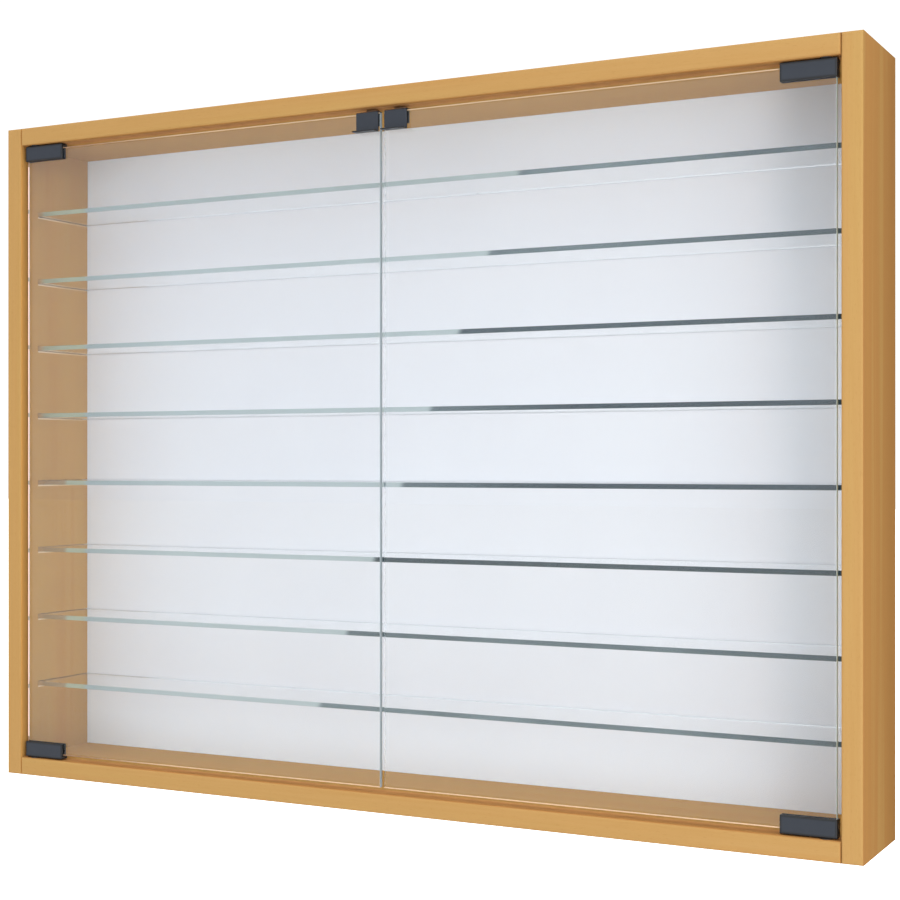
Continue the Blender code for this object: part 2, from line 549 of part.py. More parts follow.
def hinge(side, side_label, level, level_label, pivot):
    """Channel over the pane's corner with a closed outer end, two clamp screws and a pivot pin."""
    corner = f"{side_label}_{level_label}"
    outer = PANE_OUTER_X + SEAT_GAP + CLIP_END_WALL
    inner = outer - CLIP_LENGTH
    half_y = DOOR_THICKNESS / 2 + SEAT_GAP + CLIP_WALL
    low_z = PANE_EDGE_Z - CLIP_GRIP
    size, centre = box_between((side * inner, PIVOT_Y - half_y, level * low_z),
                               (side * outer, PIVOT_Y + half_y, level * CLIP_TOP_Z))
    name = f"{corner}_hinge_clip"
    clip = put(name, box_mesh(name, size, CLIP_ARRIS, CLIP_ARRIS_SEGMENTS), centre, SLATE_METAL, pivot)
    slot_half = DOOR_THICKNESS / 2 + SEAT_GAP
    slot_low = level * (low_z - CUT_OVERRUN)
    cut_box(clip, "pane_slot", (side * (inner - CUT_OVERRUN), PIVOT_Y - slot_half, slot_low),
            (side * (PANE_OUTER_X + SEAT_GAP), PIVOT_Y + slot_half, level * (PANE_EDGE_Z + SEAT_GAP)), pivot)
    cut_bore(clip, "pin_seat", PIN_RADIUS + SEAT_GAP,
             (side * PIVOT_X, PIVOT_Y, level * (CLIP_TOP_Z + CUT_OVERRUN)),
             (side * PIVOT_X, PIVOT_Y, level * (CLIP_TOP_Z - PIN_SEAT - SEAT_GAP)), pivot)
    screw_z = level * (PANE_EDGE_Z - CLIP_GRIP / 2)
    pane_rear = PANE_FRONT_Y + DOOR_THICKNESS
    clip_rear = PIVOT_Y + half_y
    for number in (1, 2):
        screw_x = side * (inner + CLAMP_SCREW_INSET + (number - 1) * CLAMP_SCREW_SPACING)
        cut_bore(clip, f"screw_hole_{number}", CLAMP_SCREW_RADIUS + SEAT_GAP, (screw_x, PIVOT_Y, screw_z),
                 (screw_x, clip_rear + CUT_OVERRUN, screw_z), pivot, SMALL_STEPS)
        start = pane_rear + SEAT_GAP
        end = clip_rear + CLAMP_SCREW_STAND
        name = f"{corner}_clamp_screw_{number}"
        screw = put(name, cylinder_mesh(name, CLAMP_SCREW_RADIUS, end - start, SMALL_STEPS),
                    (screw_x, (start + end) / 2, screw_z), BRIGHT_STEEL, pivot, (math.radians(90), 0, 0))
        cut_bore(screw, "socket", SOCKET_RADIUS, (screw_x, end + CUT_OVERRUN, screw_z),
                 (screw_x, end - SOCKET_DEPTH, screw_z), pivot, SOCKET_SIDES)
        shade_round(screw)
    foot = CLIP_TOP_Z - PIN_SEAT
    tip = INNER_Z + PIN_REACH
    length = tip - foot
    profile = ((0, length), (PIN_RADIUS - PIN_CHAMFER, length), (PIN_RADIUS, length - PIN_CHAMFER),
               (PIN_RADIUS, PIN_CHAMFER), (PIN_RADIUS - PIN_CHAMFER, 0), (0, 0))
    turned(f"{corner}_pivot_pin", profile, (side * PIVOT_X, PIVOT_Y, level * foot), BRIGHT_STEEL, pivot,
           (0 if level > 0 else math.radians(180), 0, 0))


def door_grip(side, label, pivot):
    """One bent strip: finger lip, front plate, bridge over the pane's edge and rear leg."""
    middle_x = side * (PANE_INNER_X + GRIP_INSET + GRIP_WIDTH / 2)
    front = PANE_FRONT_Y - SEAT_GAP - GRIP_SHEET / 2
    rear = PANE_FRONT_Y + DOOR_THICKNESS + SEAT_GAP + GRIP_SHEET / 2
    top = PANE_EDGE_Z + SEAT_GAP + GRIP_SHEET / 2
    bottom = top + GRIP_SHEET / 2 - GRIP_HEIGHT + GRIP_SHEET / 2
    path = ((front - GRIP_LIP - GRIP_SHEET / 2, bottom), (front, bottom), (front, top), (rear, top),
            (rear, top - GRIP_REAR_LEG))
    name = f"{label}_door_grip"
    mesh = bpy.data.meshes.new(name)
    form = bmesh.new()
    line = [form.verts.new((-GRIP_WIDTH / 2, y - PIVOT_Y, z)) for y, z in path]
    edges = [form.edges.new(pair) for pair in zip(line, line[1:])]
    swept = bmesh.ops.extrude_edge_only(form, edges=edges)["geom"]
    far = [item for item in swept if isinstance(item, bmesh.types.BMVert)]
    bmesh.ops.translate(form, verts=far, vec=(GRIP_WIDTH, 0, 0))
    folds = [edge for edge in form.edges if len(edge.link_faces) == 2]
    bmesh.ops.bevel(form, geom=folds, offset=GRIP_BEND, offset_type="OFFSET", segments=ROUNDING_SEGMENTS,
                    profile=0.5, affect="EDGES", material=-1)
    bmesh.ops.recalc_face_normals(form, faces=form.faces[:])
    form.to_mesh(mesh)
    form.free()
    grip = put(name, mesh, (middle_x, PIVOT_Y, 0), SLATE_METAL, pivot)
    sheet = grip.modifiers.new("sheet", "SOLIDIFY")
    sheet.thickness = GRIP_SHEET
    sheet.offset = 0.0
    sheet.use_even_offset = True


def door(side, label):
    """One pane with its two hinge clips and its grip, all carried by the pivot axis."""
    pivot = bpy.data.objects.new(f"{label}_door_pivot", None)
    PARTS.objects.link(pivot)
    pivot.location = (side * PIVOT_X, PIVOT_Y, 0)
    size, centre = box_between((side * PANE_INNER_X, PANE_FRONT_Y, -PANE_EDGE_Z),
                               (side * PANE_OUTER_X, PANE_FRONT_Y + DOOR_THICKNESS, PANE_EDGE_Z))
    name = f"{label}_door_glass"
    put(name, box_mesh(name, size, GLASS_ARRIS), centre, CLEAR_GLASS, pivot)
    for level, level_label in LEVELS:
        hinge(side, label, level, level_label, pivot)
    door_grip(side, label, pivot)


for side_sign, side_name in SIDES:
    side_panel(side_sign, side_name)
for level_sign, level_name in LEVELS:
    cross_board(level_sign, level_name)
back_panel()
glass_shelves()
for side_sign, side_name in SIDES:
    for level_sign, level_name in LEVELS:
        corner_joint(side_sign, side_name, level_sign, level_name)
        pivot_bush(side_sign, side_name, level_sign, level_name)
    hanger(side_sign, side_name)
    magnet_catch(side_sign, side_name)
    door(side_sign, side_name)
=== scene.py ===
import math

import bmesh
import bpy
from mathutils import Matrix, Vector


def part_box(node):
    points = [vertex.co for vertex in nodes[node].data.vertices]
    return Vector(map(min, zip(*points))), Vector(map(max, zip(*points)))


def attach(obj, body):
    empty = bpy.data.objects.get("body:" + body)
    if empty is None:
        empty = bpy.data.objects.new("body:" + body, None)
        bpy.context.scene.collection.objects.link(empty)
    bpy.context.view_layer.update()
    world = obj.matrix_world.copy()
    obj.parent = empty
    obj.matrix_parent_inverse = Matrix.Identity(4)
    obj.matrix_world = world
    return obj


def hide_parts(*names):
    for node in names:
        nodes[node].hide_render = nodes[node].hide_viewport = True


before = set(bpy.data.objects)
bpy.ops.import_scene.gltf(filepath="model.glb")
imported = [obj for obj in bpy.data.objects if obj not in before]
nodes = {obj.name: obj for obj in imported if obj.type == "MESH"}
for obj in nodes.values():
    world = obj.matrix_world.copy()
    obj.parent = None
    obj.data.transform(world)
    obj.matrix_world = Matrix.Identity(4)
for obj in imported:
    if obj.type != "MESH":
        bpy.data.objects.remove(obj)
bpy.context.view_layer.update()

# Camera
# The photograph is taken level, at about the cabinet's half height and from the right of its
# middle, with a long lens turned to the left. Places are in metres in the cabinet's own frame.
PHOTO_PIXELS = 900
FOCAL_PIXELS = 1707.98
HORIZON_ROW = 463.59
SENSOR = 36.0
CLIP_START = 0.05
CAMERA_PLACE = (0.705005, -1.320884, -0.011272)
CAMERA_TURN = (math.radians(90), 0, 0.4821)
camera_data = bpy.data.cameras.new("photo_camera")
camera_data.sensor_width = SENSOR
camera_data.lens = FOCAL_PIXELS / PHOTO_PIXELS * SENSOR
camera_data.shift_y = (HORIZON_ROW - PHOTO_PIXELS / 2) / PHOTO_PIXELS
camera_data.clip_start = CLIP_START
camera = bpy.data.objects.new("photo_camera", camera_data)
bpy.context.scene.collection.objects.link(camera)
camera.location = CAMERA_PLACE
camera.rotation_euler = CAMERA_TURN
bpy.context.scene.camera = camera


# Studio
# A soft room, brighter in front of the cabinet than behind it, with one large lamp to its right, a
# pale floor far below and black cloth round its rear. To the camera, and through glass toward the
# rear, the room is not what lights the cabinet but a clean white.
def wire(tree, kind, settings=None, sockets=None):
    """A node with its settings made and its sockets set, or linked where given another's output."""
    made = tree.nodes.new(kind)
    for name, value in (settings or {}).items():
        setattr(made, name, value)
    for key, value in (sockets or {}).items():
        if isinstance(value, bpy.types.NodeSocket):
            tree.links.new(value, made.inputs[key])
        else:
            made.inputs[key].default_value = value
    return made


def sum_of(tree, kind, *terms):
    """The output of a Math node of that operation on one, two or three terms."""
    return wire(tree, "ShaderNodeMath", {"operation": kind}, dict(enumerate(terms))).outputs[0]


def ramp_of(tree, value, low, high, start=0.0, end=1.0):
    """A smooth step of a value from start to end between low and high."""
    return wire(tree, "ShaderNodeMapRange", {"interpolation_type": "SMOOTHSTEP"},
                {"Value": value, "From Min": low, "From Max": high, "To Min": start,
                 "To Max": end}).outputs["Result"]


def colour_mix(tree, factor, first, second):
    """The colour between two colours, by the factor. A Mix node's colour sockets are its last."""
    return wire(tree, "ShaderNodeMix", {"data_type": "RGBA"}, {0: factor, 6: first, 7: second}).outputs[2]


def value_mix(tree, factor, first, second):
    """The number between two numbers, by the factor."""
    return wire(tree, "ShaderNodeMix", {"data_type": "FLOAT"}, {0: factor, 2: first, 3: second}).outputs[0]


def vector_of(tree, kind, *terms):
    """The vector output of a Vector Math node on its terms."""
    return wire(tree, "ShaderNodeVectorMath", {"operation": kind}, dict(enumerate(terms))).outputs["Vector"]


def new_material(name):
    """A material with its node tree and its Principled shader."""
    made = bpy.data.materials.new(name)
    made.use_nodes = True
    return made, made.node_tree, made.node_tree.nodes["Principled BSDF"]


def placed(name, form):
    """A finished form as an object at the origin, in the scene."""
    mesh = bpy.data.meshes.new(name)
    form.to_mesh(mesh)
    form.free()
    made = bpy.data.objects.new(name, mesh)
    bpy.context.scene.collection.objects.link(made)
    return made


ROOM_LEFT, ROOM_RIGHT = (0.03, 0.03, 0.05, 1), (0.02, 0.05, 0.13, 1)
ROOM_FRONT, ROOM_REAR = (1.12, 1.14, 1.17, 1), (0.16, 0.16, 0.17, 1)
ROOM_BELOW, ROOM_ABOVE = (0.60, 0.60, 0.62, 1), (2.06, 2.08, 2.10, 1)
BAND_LEFT, BAND_RIGHT = (0.32, 0.42, 0.64, 1), (0.60, 1.06, 1.36, 1)
BAND_FRONT, BAND_NONE = (0.06, 0.10, 0.17, 1), (0.0, 0.0, 0.0, 1)
BAND_RISE = (0.12, 0.42)
ROOM_SIDES = (("X", ROOM_LEFT, ROOM_RIGHT, BAND_LEFT, BAND_RIGHT),
              ("Y", ROOM_FRONT, ROOM_REAR, BAND_FRONT, BAND_NONE),
              ("Z", ROOM_BELOW, ROOM_ABOVE, BAND_NONE, BAND_NONE))
SEEN_WHITE, SEEN_STRENGTH = (1, 1, 1, 1), 1.1
room = bpy.data.worlds.new("soft_studio")
bpy.context.scene.world = room
room.use_nodes = True
tree = room.node_tree
tree.nodes.clear()
toward = wire(tree, "ShaderNodeTexCoord").outputs["Generated"]
parts = wire(tree, "ShaderNodeSeparateXYZ", None, {0: toward}).outputs
level = ramp_of(tree, sum_of(tree, "ABSOLUTE", parts["Z"]), *BAND_RISE, 1.0, 0.0)
room_light = (0, 0, 0)
for axis, low_side, high_side, low_band, high_band in ROOM_SIDES:
    higher = sum_of(tree, "GREATER_THAN", parts[axis], 0.0)
    share = sum_of(tree, "MULTIPLY", parts[axis], parts[axis])
    band_share = sum_of(tree, "MULTIPLY", share, level)
    for light, weight in ((colour_mix(tree, higher, low_side, high_side), share),
                          (colour_mix(tree, higher, low_band, high_band), band_share)):
        scaled = wire(tree, "ShaderNodeVectorMath", {"operation": "SCALE"},
                      {0: light, "Scale": weight}).outputs[0]
        room_light = vector_of(tree, "ADD", scaled, room_light)
light_side = wire(tree, "ShaderNodeBackground", None, {"Color": room_light})
plain_white = wire(tree, "ShaderNodeBackground", None, {"Color": SEEN_WHITE, "Strength": SEEN_STRENGTH})
ray_kinds = wire(tree, "ShaderNodeLightPath").outputs
rearward = sum_of(tree, "GREATER_THAN", parts["Y"], 0.0)
through_glass = sum_of(tree, "MULTIPLY", ray_kinds["Is Transmission Ray"], rearward)
seen = sum_of(tree, "MAXIMUM", ray_kinds["Is Camera Ray"], through_glass)
room_mix = wire(tree, "ShaderNodeMixShader", None,
                {0: seen, 1: light_side.outputs[0], 2: plain_white.outputs[0]})
wire(tree, "ShaderNodeOutputWorld", None, {"Surface": room_mix.outputs[0]})

SOFTBOX_PLACE = Vector((1.50, -1.15, 0.15))
SOFTBOX_AIM = Vector((0.20, -0.10, 0.0))
SOFTBOX_WIDTH, SOFTBOX_HEIGHT = 1.0, 1.6
SOFTBOX_POWER = 11.2
SOFTBOX_COLOUR = (0.985, 1.0, 1.0)
softbox_light = bpy.data.lights.new("softbox", "AREA")
softbox_light.shape = "RECTANGLE"
softbox_light.size = SOFTBOX_WIDTH
softbox_light.size_y = SOFTBOX_HEIGHT
softbox_light.energy = SOFTBOX_POWER
softbox_light.color = SOFTBOX_COLOUR
softbox = bpy.data.objects.new("softbox", softbox_light)
bpy.context.scene.collection.objects.link(softbox)
softbox.location = SOFTBOX_PLACE
softbox.rotation_euler = (SOFTBOX_AIM - SOFTBOX_PLACE).to_track_quat("-Z", "Y").to_euler()
softbox.visible_camera = False

bpy.context.scene.view_settings.view_transform = "Standard"
bpy.context.scene.cycles.max_bounces = 24
bpy.context.scene.cycles.transmission_bounces = 24
bpy.context.scene.cycles.glossy_bounces = 16
bpy.context.scene.cycles.diffuse_bounces = 3
bpy.context.scene.cycles.blur_glossy = 0.0

FLOOR_BELOW = 0.85
FLOOR_REACH = 30.0
FLOOR_GREY = (0.82, 0.82, 0.82, 1)
floor_form = bmesh.new()
bmesh.ops.create_grid(floor_form, x_segments=1, y_segments=1, size=FLOOR_REACH,
                      matrix=Matrix.Translation((0, 0, -FLOOR_BELOW)))
floor = placed("studio_floor", floor_form)
floor_paint, tree, shader = new_material("pale_floor")
shader.inputs["Base Color"].default_value = FLOOR_GREY
shader.inputs["Roughness"].default_value = 0.8
shader.inputs["Emission Color"].default_value = SEEN_WHITE
floor_seen = wire(tree, "ShaderNodeLightPath").outputs["Is Camera Ray"]
tree.links.new(floor_seen, shader.inputs["Emission Strength"])
floor.data.materials.append(floor_paint)

CLOTH_HALF = (0.402, 0.302)
CLOTH_WIDTH = 0.07
CLOTH_BEHIND = 0.001
CLOTH_BLACK = (0.02, 0.02, 0.02, 1)
flag_form = bmesh.new()
rim = [flag_form.verts.new((sx * CLOTH_HALF[0], CLOTH_BEHIND, sz * CLOTH_HALF[1]))
       for sx, sz in ((-1, -1), (1, -1), (1, 1), (-1, 1))]
outline = [flag_form.edges.new((rim[index - 1], rim[index])) for index in range(4)]
spread = bmesh.ops.extrude_edge_only(flag_form, edges=outline)["geom"]
for vert in spread:
    if isinstance(vert, bmesh.types.BMVert):
        vert.co.x += math.copysign(CLOTH_WIDTH, vert.co.x)
        vert.co.z += math.copysign(CLOTH_WIDTH, vert.co.z)
flag = placed("studio_flag", flag_form)
flag.visible_camera = False
flag.visible_transmission = False
flag_cloth, tree, shader = new_material("black_cloth")
shader.inputs["Base Color"].default_value = CLOTH_BLACK
shader.inputs["Roughness"].default_value = 0.9
flag.data.materials.append(flag_cloth)


# Boards
# 16 mm particleboard in a beech-coloured decor, its front rounded over and edged in the same
# decor, with bare chips where it is cut. The sides run full height, and cam locks hold the rest.
def new_group(name, inputs, outputs):
    """A shader node group with its sockets, and its two end nodes."""
    group = bpy.data.node_groups.new(name, "ShaderNodeTree")
    for label, kind in inputs:
        group.interface.new_socket(name=label, in_out="INPUT", socket_type=kind)
    for label, kind in outputs:
        group.interface.new_socket(name=label, in_out="OUTPUT", socket_type=kind)
    return group, group.nodes.new("NodeGroupInput"), group.nodes.new("NodeGroupOutput")


def use_group(tree, group, sockets):
    """A node that stands for the group in a material."""
    return wire(tree, "ShaderNodeGroup", {"node_tree": group}, sockets)


NOISE_SPREAD = (0.3, 0.7)


def noise_of(tree, vector, scale, detail=2.0, roughness=0.5):
    """The value of a noise at a vector. Most of it lies within the noise spread."""
    return wire(tree, "ShaderNodeTexNoise", None, {"Vector": vector, "Scale": scale, "Detail": detail,
                                                   "Roughness": roughness}).outputs["Fac"]


def bump_of(tree, shader, height, strength, distance):
    """Gives a shader the relief that a height makes."""
    bump = wire(tree, "ShaderNodeBump", None, {"Strength": strength, "Distance": distance, "Height": height})
    tree.links.new(bump.outputs["Normal"], shader.inputs["Normal"])


FLOAT, VECTOR, COLOUR = "NodeSocketFloat", "NodeSocketVector", "NodeSocketColor"

block_depths, ends_in, ends_out = new_group(
    "block_depths", (("Coordinates", VECTOR), ("Centre", VECTOR), ("Half Size", VECTOR)),
    (("Face Depth", FLOAT), ("Edge Depth", FLOAT)))
folded = vector_of(block_depths, "ABSOLUTE", ends_in.outputs["Coordinates"])
offset = vector_of(block_depths, "SUBTRACT", folded, ends_in.outputs["Centre"])
inward = vector_of(block_depths, "SUBTRACT", ends_in.outputs["Half Size"],
                   vector_of(block_depths, "ABSOLUTE", offset))
depth = wire(block_depths, "ShaderNodeSeparateXYZ", None, {0: inward}).outputs
nearest = sum_of(block_depths, "MINIMUM", sum_of(block_depths, "MINIMUM", depth[0], depth[1]), depth[2])
farthest = sum_of(block_depths, "MAXIMUM", sum_of(block_depths, "MAXIMUM", depth[0], depth[1]), depth[2])
total = sum_of(block_depths, "ADD", sum_of(block_depths, "ADD", depth[0], depth[1]), depth[2])
middle = sum_of(block_depths, "SUBTRACT", sum_of(block_depths, "SUBTRACT", total, nearest), farthest)
block_depths.links.new(nearest, ends_out.inputs["Face Depth"])
block_depths.links.new(middle, ends_out.inputs["Edge Depth"])

WEAR_PATCH_RISE, WEAR_FALL = (0.35, 0.75), (0.3, 1.0)
LEAST_WEAR = 0.00001
edge_wear, ends_in, ends_out = new_group(
    "edge_wear", (("Coordinates", VECTOR), ("Edge Depth", FLOAT), ("Width", FLOAT), ("Patch Scale", FLOAT)),
    (("Wear", FLOAT),))
patches = noise_of(edge_wear, ends_in.outputs["Coordinates"], ends_in.outputs["Patch Scale"], 4.0, 0.65)
reach = sum_of(edge_wear, "MULTIPLY", ends_in.outputs["Width"], ramp_of(edge_wear, patches, *WEAR_PATCH_RISE))
share = sum_of(edge_wear, "DIVIDE", ends_in.outputs["Edge Depth"],
               sum_of(edge_wear, "MAXIMUM", reach, LEAST_WEAR))
edge_wear.links.new(ramp_of(edge_wear, share, *WEAR_FALL, 1.0, 0.0), ends_out.inputs["Wear"])

BROAD_FIGURE, FINE_LINES = (26.0, 26.0, 1.6), (420.0, 420.0, 11.0)
FLECK_LINES, TONE_BANDS = (1500.0, 1500.0, 190.0), (52.0, 52.0, 1.3)
BROAD_SHARE, FINE_SHARE, FLECK_SHARE = 0.45, 0.55, 0.35
FINE_RISE, FLECK_RISE = (0.3, 0.75), (0.62, 0.72)
WARM_RISE, PALE_FALL = (0.50, 0.68), (0.32, 0.48)
wood_grain, ends_in, ends_out = new_group(
    "wood_grain", (("Along Grain", VECTOR), ("Ground", COLOUR), ("Warm Band", COLOUR), ("Pale Band", COLOUR),
                   ("Streak", COLOUR), ("Fleck", COLOUR), ("Contrast", FLOAT)),
    (("Colour", COLOUR), ("Height", FLOAT)))
along = ends_in.outputs["Along Grain"]
broad = noise_of(wood_grain, vector_of(wood_grain, "MULTIPLY", along, BROAD_FIGURE), 1.0, 3.0)
fine = noise_of(wood_grain, vector_of(wood_grain, "MULTIPLY", along, FINE_LINES), 1.0, 3.0, 0.6)
specks = noise_of(wood_grain, vector_of(wood_grain, "MULTIPLY", along, FLECK_LINES), 1.0, 1.0)
bands = noise_of(wood_grain, vector_of(wood_grain, "MULTIPLY", along, TONE_BANDS), 1.0, 2.0)
broad_part = sum_of(wood_grain, "MULTIPLY", ramp_of(wood_grain, broad, *NOISE_SPREAD), BROAD_SHARE)
fine_part = sum_of(wood_grain, "MULTIPLY", ramp_of(wood_grain, fine, *FINE_RISE), FINE_SHARE)
streaks = sum_of(wood_grain, "ADD", broad_part, fine_part)
warmed = colour_mix(wood_grain, ramp_of(wood_grain, bands, *WARM_RISE), ends_in.outputs["Ground"],
                    ends_in.outputs["Warm Band"])
banded = colour_mix(wood_grain, ramp_of(wood_grain, bands, *PALE_FALL, 1.0, 0.0), warmed,
                    ends_in.outputs["Pale Band"])
streak_share = sum_of(wood_grain, "MULTIPLY", streaks, ends_in.outputs["Contrast"])
fleck_share = sum_of(wood_grain, "MULTIPLY", ramp_of(wood_grain, specks, *FLECK_RISE),
                     sum_of(wood_grain, "MULTIPLY", ends_in.outputs["Contrast"], FLECK_SHARE))
grained = colour_mix(wood_grain, streak_share, banded, ends_in.outputs["Streak"])
flecked = colour_mix(wood_grain, fleck_share, grained, ends_in.outputs["Fleck"])
wood_grain.links.new(flecked, ends_out.inputs["Colour"])
wood_grain.links.new(sum_of(wood_grain, "SUBTRACT", fine, fleck_share), ends_out.inputs["Height"])

CHIP_STRETCH, CHIP_SCALE, FIBRE_SCALE = (1.0, 1.0, 0.55), 620.0, 1400.0
CHIP_DARK, CHIP_PALE, CHIP_GAP = (0.30, 0.17, 0.075, 1), (0.66, 0.46, 0.26, 1), (0.16, 0.085, 0.035, 1)
CHIP_GAP_RISE, CHIP_GAP_SHARE = (0.55, 0.7), 0.6
chipboard, ends_in, ends_out = new_group(
    "chipboard", (("Coordinates", VECTOR),), (("Colour", COLOUR), ("Height", FLOAT)))
chips = wire(chipboard, "ShaderNodeTexVoronoi", {"feature": "F1"},
             {"Vector": vector_of(chipboard, "MULTIPLY", ends_in.outputs["Coordinates"], CHIP_STRETCH),
              "Scale": CHIP_SCALE, "Randomness": 1.0})
chip_tone = wire(chipboard, "ShaderNodeSeparateColor", None, {0: chips.outputs["Color"]}).outputs[0]
fibre = noise_of(chipboard, ends_in.outputs["Coordinates"], FIBRE_SCALE, 3.0)
gaps = ramp_of(chipboard, fibre, *CHIP_GAP_RISE, 0.0, CHIP_GAP_SHARE)
chip_colour = colour_mix(chipboard, gaps, colour_mix(chipboard, chip_tone, CHIP_DARK, CHIP_PALE), CHIP_GAP)
chipboard.links.new(chip_colour, ends_out.inputs["Colour"])
chipboard.links.new(sum_of(chipboard, "ADD", chips.outputs["Distance"], fibre), ends_out.inputs["Height"])

BOARD = 0.016
CASE_HALF = Vector((0.400, 0.050, 0.300))
DECOR_SKIN = 0.0006
OUTER_X, OUTER_Z = 0.3995, 0.2995
MOUTH_UPRIGHT = (-0.0912, -0.0895)
MOUTH_LEVEL = (-0.086, -0.076)
LEVEL_ARRIS_Y = -0.0945
EDGING_THICKNESS = 0.0008
GLUE_HALF = 0.00007
# The outer, inner, mouth and arris tones hold the light that each face has in the photograph. They
# are fitted by place, so they don't follow the lights or the view.
BEECH_EDGING = (0.503, 0.287, 0.102, 1)
BEECH_OUTER = (0.434, 0.201, 0.063, 1)
BEECH_INNER = (0.532, 0.295, 0.091, 1)
BEECH_MOUTH = (0.620, 0.300, 0.080, 1)
BEECH_MOUTH_LOW = (0.720, 0.345, 0.130, 1)
BEECH_MOUTH_HIGH = (0.660, 0.320, 0.140, 1)
BEECH_ARRIS = (0.460, 0.210, 0.066, 1)
BEECH_WARM, WARM_SHARE = (0.495, 0.226, 0.062, 1), 0.40
BEECH_PALE, PALE_SHARE = (0.500, 0.310, 0.100, 1), 0.45
BEECH_STREAK, STREAK_SHARE = (0.436, 0.222, 0.061, 1), 0.6
BEECH_FLECK, GLUE_SHARE = (0.330, 0.150, 0.036, 1), 0.10
# A painted highlight runs along the lower lips of the shelf grooves, fainter toward the rear.
BEECH_LIP_HIGHLIGHT = (0.800, 0.640, 0.440, 1)
BEECH_RUBBED, RUBBED_SHARE = (0.60, 0.38, 0.16, 1), 0.09
RUBBED_WIDTH, RUBBED_SCALE = 0.0009, 55.0
DECOR_CONTRAST = 0.60
DECOR_GLOSS, DECOR_GLOSS_SCALE, CHIP_ROUGHNESS = (0.40, 0.48), 38.0, 0.85
GRAIN_RELIEF, DECOR_BUMP = 0.08, (0.35, 0.0003)
GROOVE_FRONT_Y, LIP_REAR_Y = -0.0743, -0.02
LOWEST_GROOVE_Z, GROOVE_PITCH, GROOVE_HALF = -0.218, 0.063, 0.0023
LIP_WIDTH, LIP_FADE = 0.0013, (0.8, 0.3)
LIPPED_BAYS = 4


def dress(material, *names):
    """Puts a material on CAD nodes, in place of the one that they came with."""
    for name in names:
        nodes[name].data.materials.clear()
        nodes[name].data.materials.append(material)


def from_nearest(tree, value, first, pitch):
    """How far a value is past the nearest of a row of places, one pitch apart."""
    turns = sum_of(tree, "DIVIDE", sum_of(tree, "SUBTRACT", value, first - pitch / 2), pitch)
    return sum_of(tree, "MULTIPLY", sum_of(tree, "SUBTRACT", sum_of(tree, "FRACT", turns), 0.5), pitch)


def groove_lip_highlight(tree, way):
    """A mask of the painted highlight, a fine pale line along the lower lip of each shelf groove in the inner
    faces.
    """
    above_shelf = from_nearest(tree, way["Z"], LOWEST_GROOVE_Z, GROOVE_PITCH)
    below = sum_of(tree, "ADD", above_shelf, GROOVE_HALF + LIP_WIDTH / 2)
    line = sum_of(tree, "LESS_THAN", sum_of(tree, "ABSOLUTE", below), LIP_WIDTH / 2)
    inner = sum_of(tree, "LESS_THAN", sum_of(tree, "ABSOLUTE", way["X"]), CASE_HALF.x - BOARD + DECOR_SKIN)
    reach = sum_of(tree, "GREATER_THAN", way["Y"], GROOVE_FRONT_Y)
    height = sum_of(tree, "LESS_THAN", sum_of(tree, "ABSOLUTE", way["Z"]), LIPPED_BAYS * GROOVE_PITCH)
    faint = ramp_of(tree, way["Y"], GROOVE_FRONT_Y, LIP_REAR_Y, *LIP_FADE)
    return sum_of(tree, "MULTIPLY", sum_of(tree, "MULTIPLY", line, inner),
                  sum_of(tree, "MULTIPLY", sum_of(tree, "MULTIPLY", reach, height), faint))


